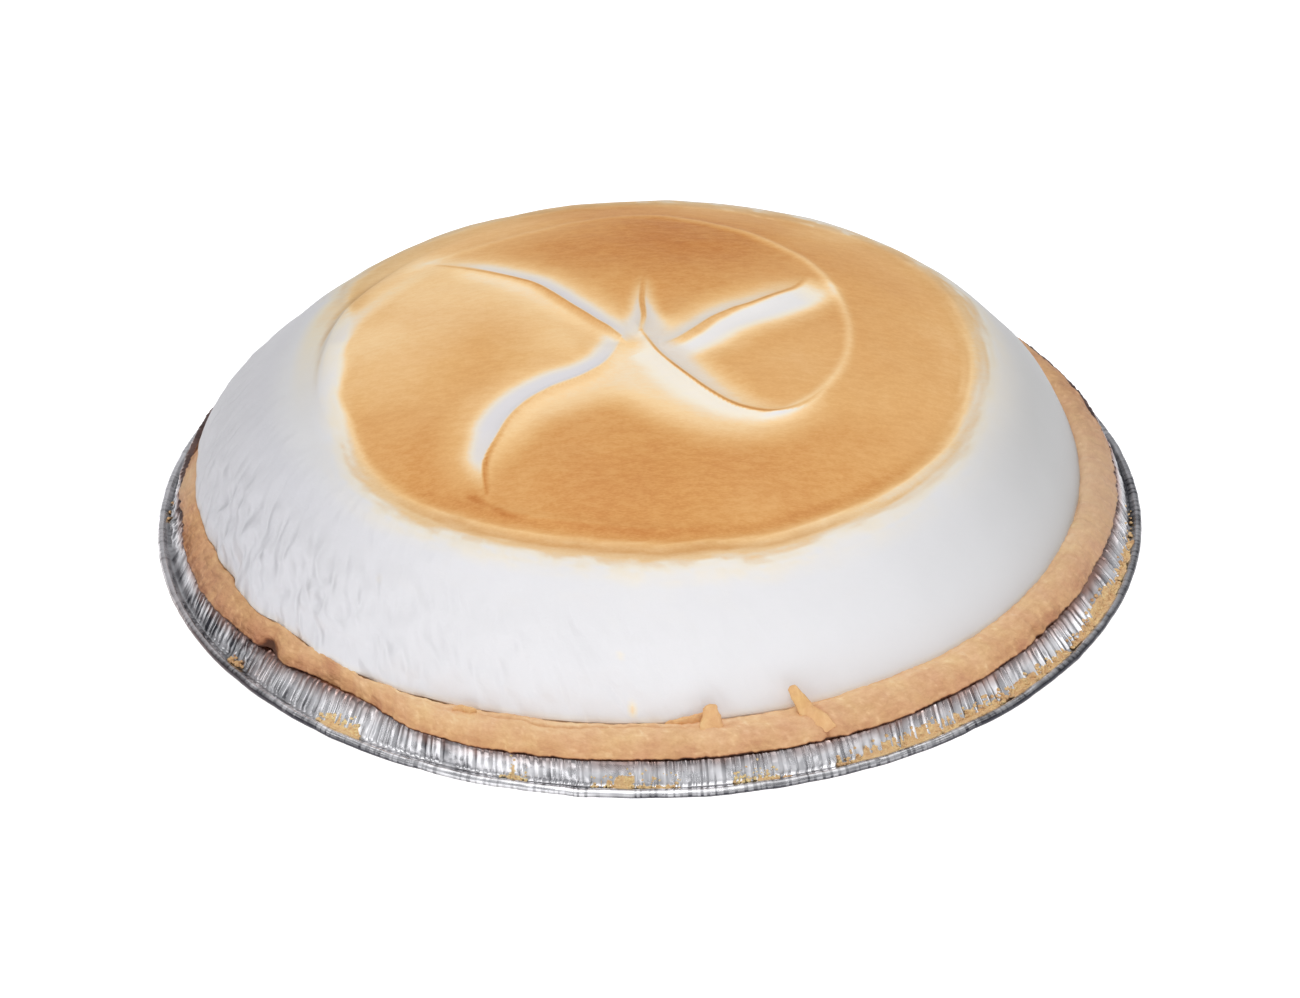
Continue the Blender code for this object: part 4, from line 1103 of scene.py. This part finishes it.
def makeBowl():
    # the tin's flat base and sloping wall, the wall pleated upright by the same folds as the rim
    angle = roundAngles(foil["bowlAround"])[None, :]
    (cornerR, cornerZ), (topR, topZ) = foil["corner"], foil["wallTop"]
    sheet, base = foil["sheet"], foil["base"]
    wall = [(mix(cornerR, topR, s), mix(cornerZ, topZ, s)) for s in np.linspace(0, 1, 14)]
    outside = [(r + sheet, z - 0.3) for r, z in wall[::-1]]
    inside = [(30, sheet), (base - 2, sheet), (base, sheet + 0.05)]
    below = [(base + 0.2, 0), (base - 3, 0), (30, 0)]
    profile = np.array(inside + wall + [(topR + 0.5, topZ + 0.2)] + outside + below)
    pleat, paintedFacetShade = crimpLine(angle)
    inWall = ease(profile[:, 1:], cornerZ, 8)
    rings = placed(profile[:, :1] + (0.8 * pleat - 0.25) * inWall, angle, profile[:, 1:])
    # painted shade on one side of each pleat, less on their tops
    paintedShadeAndReflection = np.clip(0.2 + 0.5 * paintedFacetShade * inWall - 0.3 * pleat, 0, 1)
    return skin("foil_bowl", rings, {"paintedShadeAndReflection": paintedShadeAndReflection, "paintedPastryReflection": 0 * paintedShadeAndReflection}, [(0, 0, sheet), (0, 0, 0)])


foilFinish = {
    # the colours of bright metal, of its painted shade and reflection, and of the pastry's painted reflection
    "bright": paint(250, 249, 251), "paintedShadeAndReflection": paint(58, 58, 64), "paintedPastryReflection": paint(196, 152, 136),
    "patches": (260, 0.3, 0),    # how many a metre, change of brightness, change of hue
    "roughness": (0.2, 0.38), "wearPerMetre": 260, "creasesPerMetre": 300, "creaseDepth": 0.0003,
}


def foilMaterial():
    # bright metal, blended towards its painted shade and reflection and then the pastry's painted reflection as far
    # as the mesh says, with fine creases and uneven wear
    look = foilFinish
    finish, tree, shader = newMaterial("crimpedFoil")
    metal = blendColour(tree, painted(tree, "paintedShadeAndReflection"), look["bright"], look["paintedShadeAndReflection"])
    paintedPastryReflection = maths(tree, "MULTIPLY", painted(tree, "paintedPastryReflection"), 0.5)
    finishColour(tree, shader, blendColour(tree, paintedPastryReflection, metal, look["paintedPastryReflection"]), look)
    spot = add(tree, "TexCoord").outputs["Object"]
    size = {"Vector": spot, "Scale": look["creasesPerMetre"]}
    creases = add(tree, "TexVoronoi", size, feature="DISTANCE_TO_EDGE").outputs[0]
    wear = add(tree, "TexNoise", {"Vector": spot, "Scale": look["wearPerMetre"], "Detail": 4}).outputs[0]
    low, high = look["roughness"]
    rough = add(tree, "MapRange", {0: wear, 1: 0.35, 2: 0.7, 3: low, 4: high}).outputs[0]
    feed(tree, shader, {"Roughness": rough, "Metallic": 1})
    height = maths(tree, "ADD", wear, maths(tree, "MULTIPLY", creases, 0.5))
    bumps(tree, shader, height, 0.35, look["creaseDepth"])
    return finish


crimpedFoil = foilMaterial()
for piece in (makeRim(), makeBowl()):
    piece.data.materials.append(crimpedFoil)
    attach(piece, "root")
    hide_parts("foil_tin")
    print(piece.name, "made:", len(piece.data.polygons), "faces")


# crumbs on the tin's ledge

crumbs = {
    # stretches of ledge: from and to in degrees, how many crumbs, their size in mm, and how brown they are
    "stretches": [(-184, -177, 8, (0.5, 1.0), 0.5), (-147.2, -144.6, 26, (0.6, 1.3), 0.6),
                  (-131, -125, 70, (0.5, 1.1), 0.12), (-107, -104, 30, (0.4, 0.8), 0.1),
                  (-97, -87, 110, (0.3, 0.8), 0.2), (-81, -76, 70, (0.4, 0.9), 0.12),
                  (-69, -52, 260, (0.4, 1.0), 0.34), (-52, -34, 300, (0.4, 1.1), 0.38),
                  (-33, -12, 280, (0.4, 1.1), 0.4), (-12, -2, 24, (0.4, 0.9), 0.36),
                  (60, 150, 40, (0.4, 0.9), 0.36)],
    # where crumbs lie up the slope too, at each angle
    "climb": {-180: 0, -133: 0, -129: 1, -126: 1, -122: 0, -108: 0, -106: 0.6, -104: 0, -98: 0, -94: 0.4,
              -89: 0.5, -86: 0, -82: 0, -79: 0.8, -76: 0.5, -73: 0, -70: 0, -58: 0.6, -44: 0.4, -30: 0.1,
              -25: 0.8, -18: 0.5, -8: 0},
    # how thick the caked layer of the finest crumbs lies at each angle, its radii, and its points round the pie
    "bed": {-180: 0, -132.5: 0, -130: 0.8, -126: 0.8, -123.5: 0, -108: 0, -105.5: 0.85, -103: 0, -98: 0,
            -95: 0.5, -90: 0.56, -86: 0, -82: 0, -79: 0.66, -77: 0.5, -74: 0, -70: 0, -66: 0.8, -52: 0.85,
            -45: 0.7, -36: 0.9, -33: 0.4, -28: 0.85, -14: 0.8, -8: 0.4, -3: 0},
    "bedRadii": [116.2, 116.8, 117.3, 117.8, 118.2, 118.5, 118.8, 119.1, 119.4, 119.7, 120.0, 120.3],
    "bedAround": 2400,
    # the layer's thickness where it is full, how much of that the patches change and what is taken off, mm; and
    # how far it may dive under the sheet and rise above it
    "caked": (1.4, 0.42, 0.62), "bedBetween": (-1.3, 0.6),
    "ledge": (117.8, 119.5, 119.9),    # radii from and to where crumbs lie, with the place of most in between
    # how rough each crumb is, its narrowest and widest, how flat, and how much crumbs differ in browning
    "rough": 0.28, "widths": (0.7, 1.25), "flat": 0.75, "shadeSpread": 0.09,
    "seed": 33,
}


def groundUnder(radius, angle):    # the tin's own height: straight down the slope, then along the ledge
    crestZ, (footR, footZ) = foil["crest"][1], foil["foot"]
    start = crestAt(angle) + 1
    slope = mix(crestZ - 0.5, footZ, np.clip((radius - start) / (footR - start), 0, 1))
    ledge = lookUp(radius, {footR: footZ, footR + 0.6: footZ - 0.05, footR + 1.6: footZ + 0.4})
    return np.where(radius < footR, slope, ledge)


def ballMesh():
    # a ball of 42 corners and 80 faces: a 20-sided one, each face split in four
    a = (1 + 5 ** 0.5) / 2
    points = np.array([(-1, a, 0), (1, a, 0), (-1, -a, 0), (1, -a, 0), (0, -1, a), (0, 1, a), (0, -1, -a),
                       (0, 1, -a), (a, 0, -1), (a, 0, 1), (-a, 0, -1), (-a, 0, 1)], float)
    faces = np.array([(0, 11, 5), (0, 5, 1), (0, 1, 7), (0, 7, 10), (0, 10, 11), (1, 5, 9), (5, 11, 4),
                      (11, 10, 2), (10, 7, 6), (7, 1, 8), (3, 9, 4), (3, 4, 2), (3, 2, 6), (3, 6, 8), (3, 8, 9),
                      (4, 9, 5), (2, 4, 11), (6, 2, 10), (8, 6, 7), (9, 8, 1)])
    middles = np.concatenate([faces[:, [0, 1]], faces[:, [1, 2]], faces[:, [2, 0]]])
    pairs, place = np.unique(np.sort(middles, axis=1), axis=0, return_inverse=True)
    place = place.reshape(3, len(faces)) + len(points)
    points = np.concatenate([points, points[pairs].mean(axis=1)])
    points /= np.linalg.norm(points, axis=1)[:, None]
    ab, bc, ca = place
    first, second, third = faces.T
    split = [np.stack(part, -1) for part in ((first, ab, ca), (second, bc, ab), (third, ca, bc), (ab, bc, ca))]
    return points, np.concatenate(split)


def makeCrumbs():
    # lumps strewn on the foot of the slope and the ledge: one ball, squashed, turned and roughened for each
    dice = np.random.default_rng(crumbs["seed"])
    ball, faces = ballMesh()
    inner, middle, outer = crumbs["ledge"]
    places, sizes, shades = [], [], []
    for start, end, count, (small, large), shade in crumbs["stretches"]:
        angle = np.radians(dice.uniform(start, end, count))
        climb = roundTable(angle, crumbs["climb"], 2)
        away = np.abs(dice.normal(0, 1, count)) * (0.7 + 0.9 * climb)
        radius = np.clip(middle - away, inner - 1.8 * climb, outer)
        size = dice.uniform(small, large, count) * 0.5
        places.append(placed(radius, angle, groundUnder(radius, angle) + 0.2 + 0.3 * size))
        sizes.append(size)
        shades.append(np.clip(dice.normal(shade, crumbs["shadeSpread"], count), 0.02, 0.9))
    places, sizes, shades = np.concatenate(places), np.concatenate(sizes), np.concatenate(shades)
    count = len(places)
    lumpy = 1 + crumbs["rough"] * dice.uniform(-1, 1, (count, len(ball), 1))
    squashed = dice.uniform(*crumbs["widths"], (count, 1, 3)) * [1, 1, crumbs["flat"]]
    axis = dice.uniform(0, turn, count)
    spin = np.stack([np.cos(axis), -np.sin(axis), np.sin(axis), np.cos(axis)], -1).reshape(-1, 2, 2)
    lumps = ball[None] * lumpy * squashed * sizes[:, None, None]
    lumps[..., :2] = np.einsum("nij,nkj->nki", spin, lumps[..., :2])
    points = (lumps + places[:, None]).reshape(-1, 3)
    corners = (faces[None] + len(ball) * np.arange(count)[:, None, None]).ravel()
    uvs = points[corners][:, :2] * mm
    starts = np.arange(0, len(corners), 3)
    return fillMesh("ledge_crumbs", points, corners, starts, {"bakeAndShade": np.repeat(shades, len(ball))}, uvs)


def makeCrumbBed():
    # caked fine crumbs along the ledge: the tin's height plus patchy noise, sunk into the sheet where none lie
    angle = roundAngles(crumbs["bedAround"])[None, :]
    radius = np.array(crumbs["bedRadii"])[:, None]
    x, y = radius * np.cos(angle), radius * np.sin(angle)
    inner = crumbs["ledge"][0] - 1.6 * roundTable(angle, crumbs["climb"], 2)
    amount = roundTable(angle, crumbs["bed"], 1.5) * ease(radius, inner - 0.4, inner + 0.8)
    amount = amount * (1 - 0.5 * ease(radius, crumbs["ledge"][1], crumbs["bedRadii"][-1]))
    patchy = roughNoise(x, y, 0, 3.2, 81) + 0.6 * roughNoise(x, y, 0, 0.9, 85)
    full, uneven, less = crumbs["caked"]
    thick = amount * full + uneven * patchy - less
    thick = np.where(thick < 0, 4 * thick, thick)    # where none lies it dives under the sheet
    ground = groundUnder(radius, angle)
    top = placed(radius, angle, ground + np.clip(thick, *crumbs["bedBetween"]))
    bottom = placed(radius, angle, ground - 1.5)[[-1, 5, 0]]
    bakeAndShade = np.clip(0.26 + 0.16 * patchy + 0.12 * angleBell(angle, -38, 28), 0.02, 1)
    bakeAndShade = np.concatenate([bakeAndShade, np.full((len(bottom), bakeAndShade.shape[1]), 0.3)])
    return skin("crumb_bed", np.concatenate([top, bottom]), {"bakeAndShade": bakeAndShade})


crumbFinish = {
    "shades": [(0.0, paint(244, 220, 160)), (0.25, paint(236, 202, 150)), (0.5, paint(218, 176, 126)),
               (0.8, paint(168, 122, 84)), (1.0, paint(110, 72, 50))],
    "laidBy": "Object", "grainsPerMetre": 1600, "fineShare": 0.4, "grainStretch": (1, 1, 1),
    "speckle": 0.3, "grainDepth": 0.0004,
    "patches": (300, 0.2, 0.03),    # how many a metre, change of brightness, change of hue
    "roughness": 0.8, "specular": 0.5,
}

looseCrumb = bakedMaterial("looseCrumb", crumbFinish)
for piece in (makeCrumbs(), makeCrumbBed()):
    piece.data.materials.append(looseCrumb)
    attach(piece, "root")
    print(piece.name, "made:", len(piece.data.polygons), "faces")


# floor, light and camera

studio = {
    "floor": paint(236, 236, 238), "floorSide": 5, "floorGlow": 0.66, "world": paint(170, 171, 174),
    # white lights: place and size in metres, and power
    "lights": {
        "key": ((-0.1, -1.05, 1.9), 0.9, 8.6),
        "front": ((0.1, -1.9, 1.25), 1.4, 5.2),
        "overhead": ((0, 0.1, 1.6), 1.6, 8.2),
        "left": ((-1.6, -0.4, 0.9), 0.7, 2.2),
        "right": ((1.6, -0.4, 0.9), 0.7, 1.8),
    },
    # the camera: lens, distance from its aim, angle above the floor, roll, the frame's shift and width in pixels
    "lens": 135, "distance": 1.21268, "elevation": 32.51, "roll": -0.70, "aim": (0, 0, 0.0225),
    "shift": (0.6, 11.3), "frameWidth": 1300,
}


def makeFloor():    # a flat square, four corners at plus and minus its half side
    side = studio["floorSide"] / mm
    points = np.array([(-side, -side, 0), (side, -side, 0), (side, side, 0), (-side, side, 0)])
    floor = fillMesh("floor", points, np.arange(4), np.array([0]), {})
    finish, tree, shader = newMaterial("paleFloor")
    feed(tree, shader, {"Base Color": studio["floor"], "Roughness": 0.9, "Specular IOR Level": 0.1,
                        "Emission Color": (1, 1, 1, 1), "Emission Strength": studio["floorGlow"]})
    floor.data.materials.append(finish)


def areaLight(name, place, size, power):    # a square light that looks at the origin
    light = bpy.data.lights.new(name, "AREA")
    light.shape, light.size, light.energy = "SQUARE", size, power
    lamp = bpy.data.objects.new(name, light)
    lamp.location = place
    lamp.rotation_euler = (-Vector(place)).to_track_quat("-Z", "Y").to_euler()
    bpy.context.scene.collection.objects.link(lamp)


def makeCamera():
    # on a line from the aim, backwards and up by the elevation, then rolled about its own axis
    camera = bpy.data.cameras.new("camera")
    camera.lens, camera.sensor_width, camera.clip_start = studio["lens"], 36, 0.05
    camera.shift_x, camera.shift_y = (pixels / studio["frameWidth"] for pixels in studio["shift"])
    seat = bpy.data.objects.new("camera", camera)
    tilt = Matrix.Rotation(np.radians(90 - studio["elevation"]), 4, "X")
    back = tilt @ Vector((0, 0, studio["distance"]))
    place = Matrix.Translation(Vector(studio["aim"]) + back)
    seat.matrix_world = place @ tilt @ Matrix.Rotation(np.radians(studio["roll"]), 4, "Z")
    bpy.context.scene.collection.objects.link(seat)
    bpy.context.scene.camera = seat


makeFloor()
for name, values in studio["lights"].items():
    areaLight(name, *values)
makeCamera()
world = bpy.data.worlds.new("studio")
world.use_nodes = True
world.node_tree.nodes["Background"].inputs["Color"].default_value = studio["world"]
bpy.context.scene.world = world
bpy.context.scene.view_settings.view_transform = "Standard"
print("studio set up")
